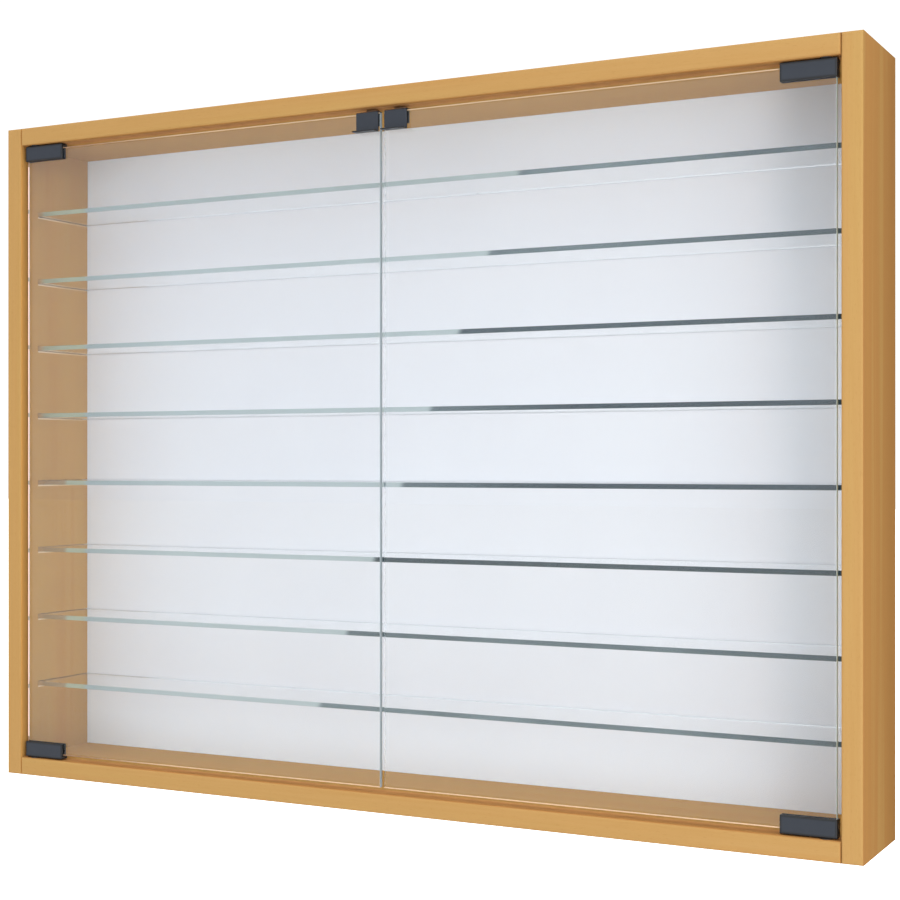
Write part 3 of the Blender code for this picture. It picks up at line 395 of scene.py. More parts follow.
def board_material(name, turn, centre, half, grooved, mouth_reach, mouth_tones):
    """Beech decor with its grain along the board, bare chips below the skin and rubbed arrises."""
    material, tree, shader = new_material(name)
    place = wire(tree, "ShaderNodeTexCoord").outputs["Object"]
    turned = wire(tree, "ShaderNodeMapping", None, {"Vector": place, "Rotation": turn}).outputs["Vector"]
    way = wire(tree, "ShaderNodeSeparateXYZ", None, {0: place}).outputs
    from_front = sum_of(tree, "ADD", way["Y"], CASE_HALF.y * 2 - EDGING_THICKNESS)
    edging = sum_of(tree, "LESS_THAN", from_front, 0.0)
    past_x, past_z = (sum_of(tree, "GREATER_THAN", sum_of(tree, "ABSOLUTE", way[axis]), reach)
                      for axis, reach in (("X", OUTER_X), ("Z", OUTER_Z)))
    outside = sum_of(tree, "MAXIMUM", past_x, past_z)
    mouth_tone = colour_mix(tree, sum_of(tree, "GREATER_THAN", way["Z"], 0.0), *mouth_tones)
    inner = colour_mix(tree, ramp_of(tree, way["Y"], *mouth_reach, 1.0, 0.0), BEECH_INNER, mouth_tone)
    if not grooved:
        inner = colour_mix(tree, sum_of(tree, "LESS_THAN", way["Y"], LEVEL_ARRIS_Y), inner, BEECH_ARRIS)
    ground = colour_mix(tree, edging, colour_mix(tree, outside, inner, BEECH_OUTER), BEECH_EDGING)
    grain = use_group(tree, wood_grain, {
        "Along Grain": turned, "Ground": ground,
        "Warm Band": colour_mix(tree, WARM_SHARE, ground, BEECH_WARM),
        "Pale Band": colour_mix(tree, PALE_SHARE, ground, BEECH_PALE),
        "Streak": colour_mix(tree, STREAK_SHARE, ground, BEECH_STREAK),
        "Fleck": BEECH_FLECK, "Contrast": DECOR_CONTRAST}).outputs
    depths = use_group(tree, block_depths, {"Coordinates": place, "Centre": centre,
                                            "Half Size": half}).outputs
    chips = use_group(tree, chipboard, {"Coordinates": place}).outputs
    wear = use_group(tree, edge_wear, {"Coordinates": place, "Edge Depth": depths["Edge Depth"],
                                       "Width": RUBBED_WIDTH, "Patch Scale": RUBBED_SCALE}).outputs["Wear"]
    bare = sum_of(tree, "GREATER_THAN", depths["Face Depth"], DECOR_SKIN)
    rubbed = colour_mix(tree, sum_of(tree, "MULTIPLY", wear, RUBBED_SHARE), grain["Colour"], BEECH_RUBBED)
    glue = sum_of(tree, "LESS_THAN", sum_of(tree, "ABSOLUTE", from_front), GLUE_HALF)
    glued = colour_mix(tree, sum_of(tree, "MULTIPLY", glue, GLUE_SHARE), rubbed, BEECH_FLECK)
    lip_highlighted = colour_mix(tree, groove_lip_highlight(tree, way) if grooved else 0.0, glued, BEECH_LIP_HIGHLIGHT)
    tree.links.new(colour_mix(tree, bare, lip_highlighted, chips["Colour"]), shader.inputs["Base Color"])
    shader.inputs["Specular IOR Level"].default_value = 0.0
    gloss = ramp_of(tree, noise_of(tree, place, DECOR_GLOSS_SCALE, 3.0), *NOISE_SPREAD, *DECOR_GLOSS)
    tree.links.new(value_mix(tree, bare, gloss, CHIP_ROUGHNESS), shader.inputs["Roughness"])
    grain_height = sum_of(tree, "MULTIPLY", grain["Height"], GRAIN_RELIEF)
    bump_of(tree, shader, value_mix(tree, bare, grain_height, chips["Height"]), *DECOR_BUMP)
    return material


REAR_REACH = 0.010
CUT_EDGE = 0.0009
side_centre = (CASE_HALF.x - BOARD / 2, CASE_HALF.y - REAR_REACH / 2, 0)
side_half = (BOARD / 2, CASE_HALF.y + REAR_REACH / 2, CASE_HALF.z)
cross_centre = (0, CASE_HALF.y - REAR_REACH / 2, CASE_HALF.z - BOARD / 2)
cross_half = (CASE_HALF.x - BOARD - CUT_EDGE, CASE_HALF.y + REAR_REACH / 2, BOARD / 2)
dress(board_material("beech_upright", (0, 0, 0), side_centre, side_half, True, MOUTH_UPRIGHT,
                     (BEECH_MOUTH, BEECH_MOUTH)), "left_side_panel", "right_side_panel")
dress(board_material("beech_level", (0, math.radians(90), 0), cross_centre, cross_half, False, MOUTH_LEVEL,
                     (BEECH_MOUTH_LOW, BEECH_MOUTH_HIGH)), "top_board", "bottom_board")


# Back panel
# A 3 mm hardboard panel, nailed into rebates all round. Its front is lacquered white, and its rear
# and edges are bare brown fibre. The real paint is even: the paler rims, the duller right end and
# the strip beside it are light and reflection in the photograph, fitted by place.
PAINT_LOW, PAINT_HIGH, PAINT_CLOUDS = (0.735, 0.735, 0.760, 1), (0.745, 0.747, 0.770, 1), 9.0
RIM_TONE, TOP_RIM_Z, BOTTOM_RIM_Z = (0.877, 0.927, 0.992, 1), (0.215, 0.300), (-0.270, -0.205)
LEFT_RIM_X, LEFT_RIM_SHARE = (-0.384, -0.290), 0.25
LEFT_RISE_Z, LEFT_RISE = (0.190, 0.260), 2.5
# Painted shade darkens the right end of the panel, more so in its top corner.
RIGHT_SHADE_X, RIGHT_SHADE_TONE, RIGHT_SHADE_SHARE, RIGHT_SHADE_RIM_SHARE = (0.285, 0.335), (0.640, 0.705, 0.765, 1), 0.5, 0.6
CORNER_Z, CORNER_SHADE_TONE, CORNER_SHARE = (0.130, 0.190), (0.580, 0.610, 0.645, 1), 0.55
STRIP_X, STRIP_Z = (0.352, 0.358), (0.170, 0.230)
STRIP_LOW, STRIP_HIGH = (0.870, 0.905, 0.955, 1), (0.770, 0.810, 0.875, 1)
REAR_FACE_Y = -0.0029
FIBRE_DARK, FIBRE_PALE = (0.20, 0.105, 0.05, 1), (0.40, 0.235, 0.125, 1)
FIBRES_SCALE, FIBRE_RELIEF, PANEL_BUMP = 900.0, 0.12, (0.5, 0.0003)
PAINT_ROUGHNESS, FIBRE_ROUGHNESS, NAIL_ROUGHNESS = 0.45, 0.8, 0.38
NAIL_PITCH = 0.0752
NAIL_LINE_X, NAIL_LINE_Z = 0.3882, 0.2882
NAIL_LAST_X, NAIL_LAST_Z = 0.38, 0.23
NAIL_RADIUS, NAIL_DENT = 0.0019, 0.0026
NAIL_TONE, DENT_TONE, DENT_SHARE = (0.60, 0.60, 0.58, 1), (0.07, 0.035, 0.018, 1), 0.7


def nail_row(along, across, line, last):
    """How far a point is from the nearest nail of the two rows that run along one direction."""
    beside = from_nearest(tree, along, 0.0, NAIL_PITCH)
    off = sum_of(tree, "SUBTRACT", sum_of(tree, "ABSOLUTE", across), line)
    reach = sum_of(tree, "SQRT", sum_of(tree, "ADD", sum_of(tree, "MULTIPLY", beside, beside),
                                        sum_of(tree, "MULTIPLY", off, off)))
    return sum_of(tree, "ADD", reach, sum_of(tree, "GREATER_THAN", sum_of(tree, "ABSOLUTE", along), last))


lacquer, tree, shader = new_material("white_lacquer")
place = wire(tree, "ShaderNodeTexCoord").outputs["Object"]
way = wire(tree, "ShaderNodeSeparateXYZ", None, {0: place}).outputs
rear_side = sum_of(tree, "GREATER_THAN", way["Y"], REAR_FACE_Y)
fibres = noise_of(tree, place, FIBRES_SCALE, 4.0, 0.6)
fibre_tone = colour_mix(tree, fibres, FIBRE_DARK, FIBRE_PALE)
strip = ramp_of(tree, way["X"], *STRIP_X)
top_rim = sum_of(tree, "MULTIPLY", ramp_of(tree, way["Z"], *TOP_RIM_Z),
                 ramp_of(tree, way["X"], *RIGHT_SHADE_X, 1.0, 0.0))
bottom_reach = value_mix(tree, strip, ramp_of(tree, way["X"], *RIGHT_SHADE_X, 1.0, RIGHT_SHADE_RIM_SHARE), 1.0)
bottom_rim = sum_of(tree, "MULTIPLY", ramp_of(tree, way["Z"], *BOTTOM_RIM_Z, 1.0, 0.0), bottom_reach)
left_rim = sum_of(tree, "MULTIPLY", ramp_of(tree, way["X"], *LEFT_RIM_X, LEFT_RIM_SHARE, 0.0),
                  ramp_of(tree, way["Z"], *LEFT_RISE_Z, 1.0, LEFT_RISE))
rims = sum_of(tree, "ADD", sum_of(tree, "MAXIMUM", top_rim, bottom_rim), left_rim)
corner = sum_of(tree, "MULTIPLY", ramp_of(tree, way["X"], *RIGHT_SHADE_X, 0.0, CORNER_SHARE),
                ramp_of(tree, way["Z"], *CORNER_Z))
strip_tone = colour_mix(tree, ramp_of(tree, way["Z"], *STRIP_Z), STRIP_LOW, STRIP_HIGH)
clouds = ramp_of(tree, noise_of(tree, place, PAINT_CLOUDS, 3.0), *NOISE_SPREAD)
lacquer_and_light_tone = colour_mix(tree, clouds, PAINT_LOW, PAINT_HIGH)
lacquer_and_light_tone = colour_mix(tree, ramp_of(tree, way["X"], *RIGHT_SHADE_X, 0.0, RIGHT_SHADE_SHARE), lacquer_and_light_tone, RIGHT_SHADE_TONE)
lacquer_and_light_tone = colour_mix(tree, corner, lacquer_and_light_tone, CORNER_SHADE_TONE)
lacquer_and_light_tone = colour_mix(tree, strip, lacquer_and_light_tone, strip_tone)
lacquer_and_light_tone = colour_mix(tree, rims, lacquer_and_light_tone, RIM_TONE)
from_nail = sum_of(tree, "MINIMUM", nail_row(way["X"], way["Z"], NAIL_LINE_Z, NAIL_LAST_X),
                   nail_row(way["Z"], way["X"], NAIL_LINE_X, NAIL_LAST_Z))
nail = sum_of(tree, "MULTIPLY", sum_of(tree, "LESS_THAN", from_nail, NAIL_RADIUS), rear_side)
dent = sum_of(tree, "MULTIPLY", ramp_of(tree, from_nail, NAIL_RADIUS, NAIL_DENT, 1.0, 0.0), rear_side)
both_sides = colour_mix(tree, rear_side, lacquer_and_light_tone, fibre_tone)
dented = colour_mix(tree, sum_of(tree, "MULTIPLY", dent, DENT_SHARE), both_sides, DENT_TONE)
tree.links.new(colour_mix(tree, nail, dented, NAIL_TONE), shader.inputs["Base Color"])
tree.links.new(nail, shader.inputs["Metallic"])
panel_roughness = value_mix(tree, rear_side, PAINT_ROUGHNESS, FIBRE_ROUGHNESS)
tree.links.new(value_mix(tree, nail, panel_roughness, NAIL_ROUGHNESS), shader.inputs["Roughness"])
relief = sum_of(tree, "SUBTRACT", sum_of(tree, "MULTIPLY", fibres, FIBRE_RELIEF),
                sum_of(tree, "SUBTRACT", dent, nail))
bump_of(tree, shader, relief, *PANEL_BUMP)
dress(lacquer, "back_panel")


# Glass shelves and door panes
# All are 4 mm float glass, faintly green in its depth. The shelves lie in the sides' grooves, and
# the clips hold the panes. The shelves' fronts, one upright edge of each pane and a fine border
# along the panes' rims are ground matt, and the rest is polished. The tones of the shelves' fronts
# and of the borders are painted reflections, and the right pane's ground edge is painted lighter.
GLASS_TINT = (0.55, 0.85, 0.90, 1)
GLASS_TINT_DENSITY = 5.5
GLASS_IOR = 1.5
SEAM = 0.00008
MERGE_REACH = 0.00001
FACING = 0.6
GROUND_FACE, BORDER_FACE = 1, 2
GRIT_SCALE, GRIT_GLOSS, GRIT_SPECULAR, GRIT_BUMP = 2600.0, (0.36, 0.50), 0.25, (0.15, 0.00005)


def ground_material(name):
    """The matt face that a wheel leaves on a glass edge."""
    material, tree, shader = new_material(name)
    place = wire(tree, "ShaderNodeTexCoord").outputs["Object"]
    grit = noise_of(tree, place, GRIT_SCALE, 2.0)
    tree.links.new(ramp_of(tree, grit, *NOISE_SPREAD, *GRIT_GLOSS), shader.inputs["Roughness"])
    shader.inputs["Specular IOR Level"].default_value = GRIT_SPECULAR
    bump_of(tree, shader, grit, *GRIT_BUMP)
    return material, tree, shader, place


def glass_sheet(node, name, body, ground, toward, borders=()):
    """A sheet in a CAD node's own place. The edge that faces toward that way is ground matt, and so
    is a border in its front, as wide as stated, along each edge that the borders name."""
    low, high = (Vector(corner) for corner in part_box(node))
    form = bmesh.new()
    bmesh.ops.create_cube(form, size=1.0, matrix=Matrix.Translation((low + high) / 2)
                          @ Matrix.Diagonal((*(high - low), 1)))
    bmesh.ops.bevel(form, geom=form.edges[:], offset=SEAM, offset_type="OFFSET", segments=1, profile=0.5,
                    affect="EDGES", material=-1)
    bmesh.ops.recalc_face_normals(form, faces=form.faces[:])
    for outward, width in borders:
        rim_point = Vector([high[axis] if outward[axis] > 0 else low[axis] for axis in range(3)])
        line = rim_point - Vector(outward) * width
        bmesh.ops.bisect_plane(form, geom=form.verts[:] + form.edges[:] + form.faces[:], dist=MERGE_REACH,
                               plane_co=line, plane_no=outward)
        for face in form.faces:
            if face.normal.y < -FACING and (face.calc_center_median() - line).dot(Vector(outward)) > 0:
                face.material_index = BORDER_FACE
    for face in form.faces:
        if face.normal.dot(Vector(toward)) > FACING:
            face.material_index = GROUND_FACE
    sheet = placed(name, form)
    for material in (float_glass, ground, border_glass):
        sheet.data.materials.append(material)
    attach(sheet, body)
    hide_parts(node)


float_glass, tree, shader = new_material("float_glass")
shader.inputs["Base Color"].default_value = (1, 1, 1, 1)
shader.inputs["Transmission Weight"].default_value = 1.0
shader.inputs["Roughness"].default_value = 0.0
shader.inputs["IOR"].default_value = GLASS_IOR
tint = wire(tree, "ShaderNodeVolumeAbsorption", None, {"Color": GLASS_TINT, "Density": GLASS_TINT_DENSITY})
tree.links.new(tint.outputs[0], tree.nodes["Material Output"].inputs["Volume"])

LEVEL_BORDER, UPRIGHT_BORDER = 0.0010, 0.0015
# The borders' warm tones are those of the wood that shows in them in the photograph.
# All the border tones are painted reflections: of the wood, fainter at the left and at the ends, and of the
# shelves where they cross the upright border.
BORDER_TOP = (0.60, 0.42, 0.255, 1)
BORDER_BOTTOM = (0.75, 0.51, 0.31, 1)
BORDER_UPRIGHT = (0.99, 0.68, 0.53, 1)
BORDER_FAINT = (0.34, 0.19, 0.105, 1)
FAINT_X = (-0.325, -0.200)
UPRIGHT_REACH, LEVEL_START = 0.2646, 0.2783
BORDER_BREAK = (0.42, 0.34, 0.26, 1)
BREAK_HALF, BREAK_CLOUD, BREAK_CLOUD_SHARE = 0.0018, 60.0, 0.12
border_glass, tree, shader, place = ground_material("border_glass")
way = wire(tree, "ShaderNodeSeparateXYZ", None, {0: place}).outputs
from_middle = sum_of(tree, "ABSOLUTE", way["Z"])
from_shelf = sum_of(tree, "ABSOLUTE", from_nearest(tree, way["Z"], LOWEST_GROOVE_Z, GROOVE_PITCH))
broken = sum_of(tree, "LESS_THAN", from_shelf, BREAK_HALF)
level_tone = colour_mix(tree, sum_of(tree, "GREATER_THAN", way["Z"], 0.0), BORDER_BOTTOM, BORDER_TOP)
level_tone = colour_mix(tree, ramp_of(tree, way["X"], *FAINT_X), BORDER_FAINT, level_tone)
upright_tone = colour_mix(tree, broken, BORDER_UPRIGHT, BORDER_BREAK)
upright_end = sum_of(tree, "GREATER_THAN", from_middle, UPRIGHT_REACH)
upright_tone = colour_mix(tree, upright_end, upright_tone, BORDER_FAINT)
flush = colour_mix(tree, sum_of(tree, "GREATER_THAN", from_middle, LEVEL_START), upright_tone, level_tone)
cloud = ramp_of(tree, noise_of(tree, place, BREAK_CLOUD, 2.0), *NOISE_SPREAD, 0.0, BREAK_CLOUD_SHARE)
tree.links.new(colour_mix(tree, cloud, flush, BORDER_BREAK), shader.inputs["Base Color"])

# The shelf edges' pale and dark parts, and the brown where they cross wood, are reflections in the
# photograph. They are fitted by place to that one view, so they stay put in every other.
SHADE_X, SHADE_SLOPE, SHADE_SOFT = 0.0205, 0.427, 0.004
OVER_WOOD_X = (-0.332, -0.324)
LOW_WOOD_X = (-0.354, -0.348)
GROOVE_END_X = (-0.384, -0.374)
DIRECT_X = 0.3788
PALE_LEFT_X, PALE_TOP_Z = (-0.335, -0.215), (0.17, 0.21)
MID_Z, MID_X, MID_SHARE = (0.06, 0.20), (0.22, 0.34), (0.70, 0.28)
TAIL_X, TAIL_Z, TAIL_SHARE = (0.0, 0.14), (0.03, 0.07), 0.45
RIPPLE_STRETCH, RIPPLE_SHARE = (14.0, 0.0, 40.0), (0.8, 1.15)
EDGE_PALE = (0.382, 0.441, 0.436, 1)
EDGE_PALE_LEFT = (0.286, 0.338, 0.330, 1)
EDGE_PALE_TOP = (0.325, 0.378, 0.364, 1)
EDGE_OVER_WOOD = (0.325, 0.343, 0.237, 1)
EDGE_LOW_WOOD = (0.300, 0.200, 0.095, 1)
EDGE_AT_GROOVE = (0.420, 0.260, 0.110, 1)
EDGE_MID = (0.176, 0.228, 0.234, 1)
EDGE_DARK = (0.018, 0.037, 0.043, 1)
EDGE_DIRECT = (0.060, 0.075, 0.070, 1)
shelf_edge, tree, shader, place = ground_material("shelf_edge")
way = wire(tree, "ShaderNodeSeparateXYZ", None, {0: place}).outputs
border = sum_of(tree, "MULTIPLY_ADD", way["Z"], SHADE_SLOPE, SHADE_X)
past_border = sum_of(tree, "SUBTRACT", way["X"], border)
shade = ramp_of(tree, past_border, -SHADE_SOFT, SHADE_SOFT)
ripple = noise_of(tree, vector_of(tree, "MULTIPLY", place, RIPPLE_STRETCH), 1.0, 2.0)
from_level = sum_of(tree, "ABSOLUTE", way["Z"])
lighter = sum_of(tree, "MULTIPLY", ramp_of(tree, from_level, *MID_Z),
                 ramp_of(tree, way["X"], *MID_X, *MID_SHARE))
lighter = sum_of(tree, "MULTIPLY", lighter, ramp_of(tree, ripple, *NOISE_SPREAD, *RIPPLE_SHARE))
tail = sum_of(tree, "MULTIPLY", ramp_of(tree, past_border, *TAIL_X, TAIL_SHARE, 0.0),
              ramp_of(tree, from_level, *TAIL_Z, 1.0, 0.0))
lighter = sum_of(tree, "ADD", lighter, tail)
low_wood = sum_of(tree, "MULTIPLY", ramp_of(tree, way["X"], *LOW_WOOD_X, 1.0, 0.0),
                  sum_of(tree, "LESS_THAN", way["Z"], 0.0))
wood_tone = colour_mix(tree, low_wood, EDGE_OVER_WOOD, EDGE_LOW_WOOD)
wood_tone = colour_mix(tree, ramp_of(tree, way["X"], *GROOVE_END_X), EDGE_AT_GROOVE, wood_tone)
pale_tone = colour_mix(tree, ramp_of(tree, way["Z"], *PALE_TOP_Z), EDGE_PALE, EDGE_PALE_TOP)
pale_tone = colour_mix(tree, ramp_of(tree, way["X"], *PALE_LEFT_X), EDGE_PALE_LEFT, pale_tone)
pale_tone = colour_mix(tree, ramp_of(tree, way["X"], *OVER_WOOD_X), wood_tone, pale_tone)
seen_tone = colour_mix(tree, shade, pale_tone, colour_mix(tree, lighter, EDGE_DARK, EDGE_MID))
tree.links.new(colour_mix(tree, sum_of(tree, "GREATER_THAN", way["X"], DIRECT_X), seen_tone, EDGE_DIRECT),
               shader.inputs["Base Color"])
SHELVES = 8
for number in range(1, SHELVES + 1):
    glass_sheet(f"glass_shelf_{number}", f"shelf_sheet_{number}", "case", shelf_edge, (0, -1, 0))

PANE_EDGE_LOW = (0.430, 0.480, 0.490, 1)
PANE_EDGE_HIGH = (0.480, 0.530, 0.545, 1)
# The right pane's ground edge is painted paler and bluer than the other: painted light that lifts the shade
# it lies in beside the side panel.
PANE_EDGE_OUTER_LIT, OUTER_SPECULAR = (0.680, 0.940, 0.980, 1), 0.6
PANE_MOTTLE = 45.0
pane_edge, tree, shader, place = ground_material("pane_edge")
mottle = noise_of(tree, place, PANE_MOTTLE, 2.0)
tree.links.new(colour_mix(tree, mottle, PANE_EDGE_LOW, PANE_EDGE_HIGH), shader.inputs["Base Color"])
lit_outer_pane_edge, tree, shader, place = ground_material("lit_outer_pane_edge")
shader.inputs["Base Color"].default_value = PANE_EDGE_OUTER_LIT
shader.inputs["Specular IOR Level"].default_value = OUTER_SPECULAR
level_borders = (((0, 0, 1), LEVEL_BORDER), ((0, 0, -1), LEVEL_BORDER))
outer_border = ((-1, 0, 0), UPRIGHT_BORDER)
glass_sheet("left_door_glass", "left_door_sheet", "left_door", pane_edge, (1, 0, 0),
            (*level_borders, outer_border))
glass_sheet("right_door_glass", "right_door_sheet", "right_door", lit_outer_pane_edge, (1, 0, 0), level_borders)


# Hinge clips and door grips
# Zinc channels and bent steel strips, both powder coated a dark slate, hold the panes' corners and
# top edges. The coat is finely textured, and a dark rim of painted shade runs along the arrises.
SLATE_LOW = (0.0143, 0.0182, 0.0262, 1)
SLATE_HIGH = (0.0210, 0.0258, 0.0358, 1)
# The dark rim along the arrises is painted shade.
SLATE_RIM_SHADE, RIM_START, RIM_END, RIM_SHARE = (0.005, 0.005, 0.005, 1), 0.6, 1.3, 0.95
SLATE_SPECKLE, SLATE_CLOUD, SLATE_GLOSS, SLATE_BUMP = 1800.0, 160.0, (0.40, 0.50), (0.25, 0.0001)
CORNERS = [f"{side}_{level}" for side in ("left", "right") for level in ("top", "bottom")]


def slate_material(name, centre, half, rim):
    """Powder coat over a block, with a dark rim of painted shade of that width along its arrises."""
    material, tree, shader = new_material(name)
    place = wire(tree, "ShaderNodeTexCoord").outputs["Object"]
    depth = use_group(tree, block_depths, {"Coordinates": place, "Centre": centre,
                                           "Half Size": half}).outputs["Edge Depth"]
    speckle = noise_of(tree, place, SLATE_SPECKLE, 2.0)
    cloud = noise_of(tree, place, SLATE_CLOUD, 2.0)
    mottle = sum_of(tree, "MULTIPLY", sum_of(tree, "ADD", speckle, cloud), 0.5)
    edge = ramp_of(tree, depth, rim * RIM_START, rim * RIM_END, RIM_SHARE, 0.0)
    coat = colour_mix(tree, edge, colour_mix(tree, mottle, SLATE_LOW, SLATE_HIGH), SLATE_RIM_SHADE)
    tree.links.new(coat, shader.inputs["Base Color"])
    tree.links.new(ramp_of(tree, speckle, *NOISE_SPREAD, *SLATE_GLOSS), shader.inputs["Roughness"])
    bump_of(tree, shader, speckle, *SLATE_BUMP)
    return material


CLIP_BLOCK, CLIP_SHADE_RIM = ((0.3591, 0.093, 0.27605), (0.0215, 0.004, 0.00705)), 0.0017
GRIP_BLOCK, GRIP_SHADE_RIM = ((0.0135, 0.0965, 0.27215), (0.0105, 0.0068, 0.00865)), 0.0012
dress(slate_material("slate_clip", *CLIP_BLOCK, CLIP_SHADE_RIM), *[f"{corner}_hinge_clip" for corner in CORNERS])
dress(slate_material("slate_grip", *GRIP_BLOCK, GRIP_SHADE_RIM), "left_door_grip", "right_door_grip")


# Steel and zinc fittings
# Bolts, pins, clamp screws and hanger plates are turned or pressed steel, zinc plated with a little
# blue passivation. The cam locks are rough zinc castings that drop into the boards' pockets.
PATCH_SCALE = 210.0
PLATE_DARK, PLATE_PALE, PLATE_GLOSS = (0.52, 0.54, 0.58, 1), (0.66, 0.66, 0.64, 1), (0.22, 0.40)
CAST_DARK, CAST_PALE, CAST_GLOSS = (0.44, 0.44, 0.45, 1), (0.56, 0.56, 0.56, 1), (0.40, 0.62)
PLATE_GRAIN, PLATE_BUMP = (2200.0, 2200.0, 500.0), (0.3, 0.00004)
CAST_GRAIN, CAST_BUMP = (1300.0, 1300.0, 1300.0), (0.3, 0.00012)


def plated_material(name, low, high, gloss, grain_scale, relief):
    """Metal with patchy tone and gloss, and a fine grain from rolling, turning or casting."""
    material, tree, shader = new_material(name)
    place = wire(tree, "ShaderNodeTexCoord").outputs["Object"]
    patches = ramp_of(tree, noise_of(tree, place, PATCH_SCALE, 3.0), *NOISE_SPREAD)
    grain = noise_of(tree, vector_of(tree, "MULTIPLY", place, grain_scale), 1.0, 3.0, 0.6)
    shader.inputs["Metallic"].default_value = 1.0
    tree.links.new(colour_mix(tree, patches, low, high), shader.inputs["Base Color"])
    tree.links.new(ramp_of(tree, grain, *NOISE_SPREAD, *gloss), shader.inputs["Roughness"])
    bump_of(tree, shader, grain, *relief)
    return material


plated = plated_material("zinc_plate", PLATE_DARK, PLATE_PALE, PLATE_GLOSS, PLATE_GRAIN, PLATE_BUMP)
cast = plated_material("cast_zinc", CAST_DARK, CAST_PALE, CAST_GLOSS, CAST_GRAIN, CAST_BUMP)
LEVEL_CORNERS = [f"{level}_{side}" for level in ("top", "bottom") for side in ("left", "right")]
dress(plated, "left_hanger_plate", "right_hanger_plate", *[f"{corner}_cam_bolt" for corner in LEVEL_CORNERS],
      *[f"{corner}_pivot_pin" for corner in CORNERS],
      *[f"{corner}_clamp_screw_{number}" for corner in CORNERS for number in (1, 2)])
dress(cast, *[f"{corner}_cam_lock" for corner in LEVEL_CORNERS])


# Cross-recess screws
# Six small plated screws: two countersunk in each hanger plate, and one with a domed head up
# through each magnet catch. Each has a pressed cross in its head.
SCREW_SIDES = 32
SEAM_REACH, RIM_REACH = 0.000005, 0.00001
CROSS_TAPER = 0.45
SMOOTH_BELOW = math.radians(30)


def recessed_screw(name, place, turn, head_profile, shank, cross, body, replaced):
    """A screw along Z, head up: a turned head and shank, and a tapering cross sunk into the top."""
    form = bmesh.new()
    top = head_profile[0][1]
    chain = [form.verts.new((radius, 0, height)) for radius, height in (*head_profile, *shank)]
    edges = [form.edges.new(pair) for pair in zip(chain, chain[1:])]
    bmesh.ops.spin(form, geom=chain + edges, cent=(0, 0, 0), axis=(0, 0, 1), angle=math.tau,
                   steps=SCREW_SIDES, use_merge=True)
    bmesh.ops.remove_doubles(form, verts=form.verts[:], dist=SEAM_REACH)
    rim_edges = [edge for edge in form.edges if len(edge.link_faces) == 1
                 and all(abs(vert.co.z - top) < RIM_REACH for vert in edge.verts)]
    reach, width, depth = cross
    quarter_arm = ((width, width, top), (width, reach, top), (-width, reach, top))
    arms = [Matrix.Rotation(math.radians(90) * quarter, 3, "Z") @ Vector(corner)
            for quarter in range(4) for corner in quarter_arm]
    mouth = [form.verts.new(point) for point in arms]
    mouth_edges = [form.edges.new((mouth[index - 1], mouth[index])) for index in range(len(mouth))]
    sunk = [form.verts.new((point.x * CROSS_TAPER, point.y * CROSS_TAPER, top - depth)) for point in arms]
    for index in range(len(mouth)):
        form.faces.new((mouth[index - 1], mouth[index], sunk[index], sunk[index - 1]))
    form.faces.new(sunk)
    bmesh.ops.triangle_fill(form, edges=rim_edges + mouth_edges, use_beauty=True)
    bmesh.ops.transform(form, matrix=Matrix.Translation(place) @ turn, verts=form.verts[:])
    bmesh.ops.recalc_face_normals(form, faces=form.faces[:])
    for face in form.faces:
        face.smooth = True
    screw = placed(name, form)
    screw.data.set_sharp_from_angle(angle=SMOOTH_BELOW)
    screw.data.materials.append(plated)
    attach(screw, body)
    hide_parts(replaced)


HANGER_HEAD = ((0.0027, 0.0), (0.0014, -0.0011))
HANGER_SHANK = ((0.0014, -0.0122), (0.0, -0.0136))
HANGER_CROSS = (0.0015, 0.00035, 0.0008)
HANGER_X, HANGER_SUNK = 0.392, -0.0006
HANGER_LEVELS = (("lower", 0.2415), ("upper", 0.2745))
FACING_REAR = Matrix.Rotation(math.radians(-90), 4, "X")
CATCH_HEAD = ((0.0015, 0.0014), (0.0021, 0.0011), (0.0024, 0.0007), (0.0024, 0.0), (0.0013, 0.0))
CATCH_SHANK = ((0.0013, -0.0163), (0.0, -0.0176))
CATCH_CROSS = (0.0011, 0.00028, 0.0007)
CATCH_X, CATCH_Y, CATCH_Z = 0.0135, -0.0864, 0.2734
FACING_DOWN = Matrix.Rotation(math.radians(180), 4, "X")
for side, sign in (("left", -1), ("right", 1)):
    for level, height in HANGER_LEVELS:
        recessed_screw(f"{side}_hanger_cross_screw_{level}", (sign * HANGER_X, HANGER_SUNK, height),
                       FACING_REAR, HANGER_HEAD, HANGER_SHANK, HANGER_CROSS, "case",
                       f"{side}_hanger_screw_{level}")
for side, sign in (("left", -1), ("right", 1)):
    recessed_screw(f"{side}_catch_cross_screw", (sign * CATCH_X, CATCH_Y, CATCH_Z), FACING_DOWN,
                   CATCH_HEAD, CATCH_SHANK, CATCH_CROSS, "case", f"{side}_catch_screw")


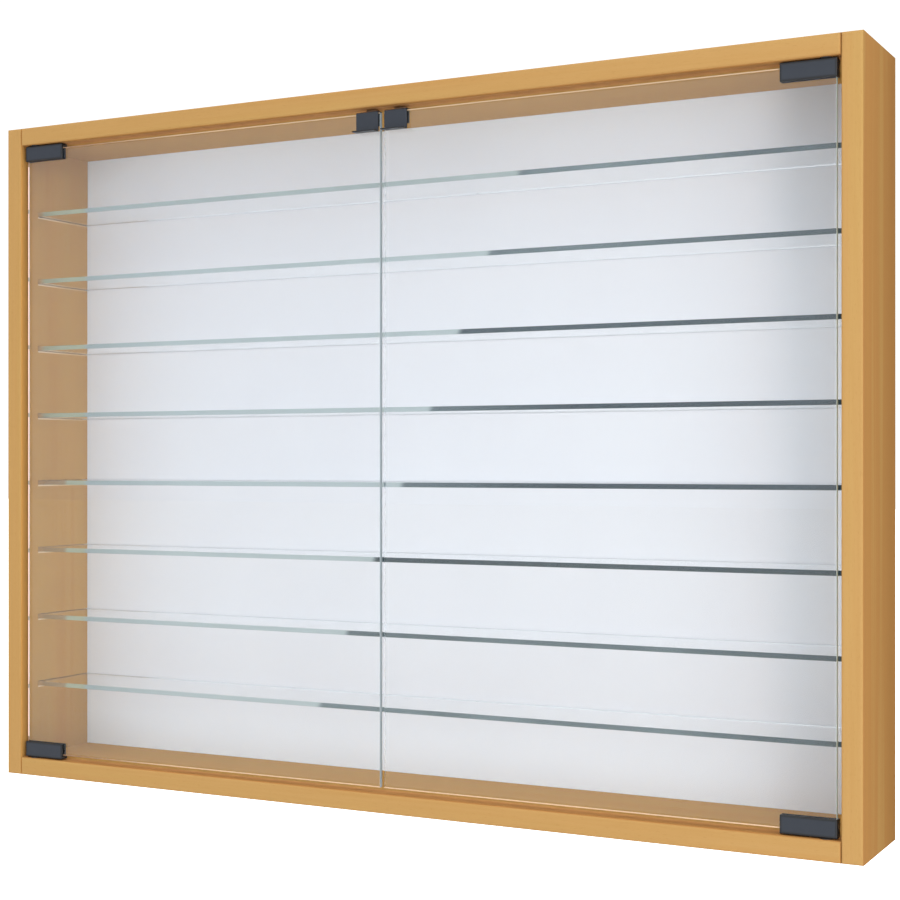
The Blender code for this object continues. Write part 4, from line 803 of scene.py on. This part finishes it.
# Moulded and turned small pieces
# The pivot bushes are black nylon and the magnet catches brown plastic, both moulded. The dowels
# are turned beech with glue flutes along them.
PEBBLE_SCALE, FLOW_SCALE, PEBBLE_SPREAD, PEBBLE_BUMP = 2400.0, 120.0, 0.12, (0.2, 0.00008)
NYLON_DARK, NYLON_PALE, NYLON_GLOSS = (0.016, 0.016, 0.018, 1), (0.028, 0.028, 0.031, 1), 0.42
BROWN_DARK, BROWN_PALE, BROWN_GLOSS = (0.20, 0.105, 0.048, 1), (0.27, 0.145, 0.065, 1), 0.40
DOWEL_GROUND, DOWEL_WARM, DOWEL_PALE = (0.62, 0.42, 0.24, 1), (0.60, 0.38, 0.20, 1), (0.66, 0.47, 0.28, 1)
DOWEL_STREAK, DOWEL_FLECK, DOWEL_CONTRAST = (0.52, 0.33, 0.17, 1), (0.36, 0.20, 0.09, 1), 0.8
DOWEL_ROUGHNESS, DOWEL_BUMP = 0.7, (0.4, 0.0002)


def moulded_material(name, low, high, gloss):
    """Moulded plastic: an even tone with a fine spark-eroded texture."""
    material, tree, shader = new_material(name)
    place = wire(tree, "ShaderNodeTexCoord").outputs["Object"]
    pebble = noise_of(tree, place, PEBBLE_SCALE, 2.0)
    flow = noise_of(tree, place, FLOW_SCALE, 3.0)
    tree.links.new(colour_mix(tree, flow, low, high), shader.inputs["Base Color"])
    roughness = ramp_of(tree, pebble, *NOISE_SPREAD, gloss, gloss + PEBBLE_SPREAD)
    tree.links.new(roughness, shader.inputs["Roughness"])
    bump_of(tree, shader, pebble, *PEBBLE_BUMP)
    return material


dress(moulded_material("black_nylon", NYLON_DARK, NYLON_PALE, NYLON_GLOSS),
      *[f"{corner}_pivot_bush" for corner in CORNERS])
dress(moulded_material("brown_moulding", BROWN_DARK, BROWN_PALE, BROWN_GLOSS),
      "left_magnet_catch", "right_magnet_catch")
dowel_wood, tree, shader = new_material("dowel_beech")
place = wire(tree, "ShaderNodeTexCoord").outputs["Object"]
turned = wire(tree, "ShaderNodeMapping", None,
              {"Vector": place, "Rotation": (0, math.radians(90), 0)}).outputs["Vector"]
grain = use_group(tree, wood_grain, {"Along Grain": turned, "Ground": DOWEL_GROUND, "Warm Band": DOWEL_WARM,
                                     "Pale Band": DOWEL_PALE, "Streak": DOWEL_STREAK, "Fleck": DOWEL_FLECK,
                                     "Contrast": DOWEL_CONTRAST}).outputs
tree.links.new(grain["Colour"], shader.inputs["Base Color"])
shader.inputs["Roughness"].default_value = DOWEL_ROUGHNESS
bump_of(tree, shader, grain["Height"], *DOWEL_BUMP)
dress(dowel_wood, *[f"{corner}_dowel" for corner in LEVEL_CORNERS])
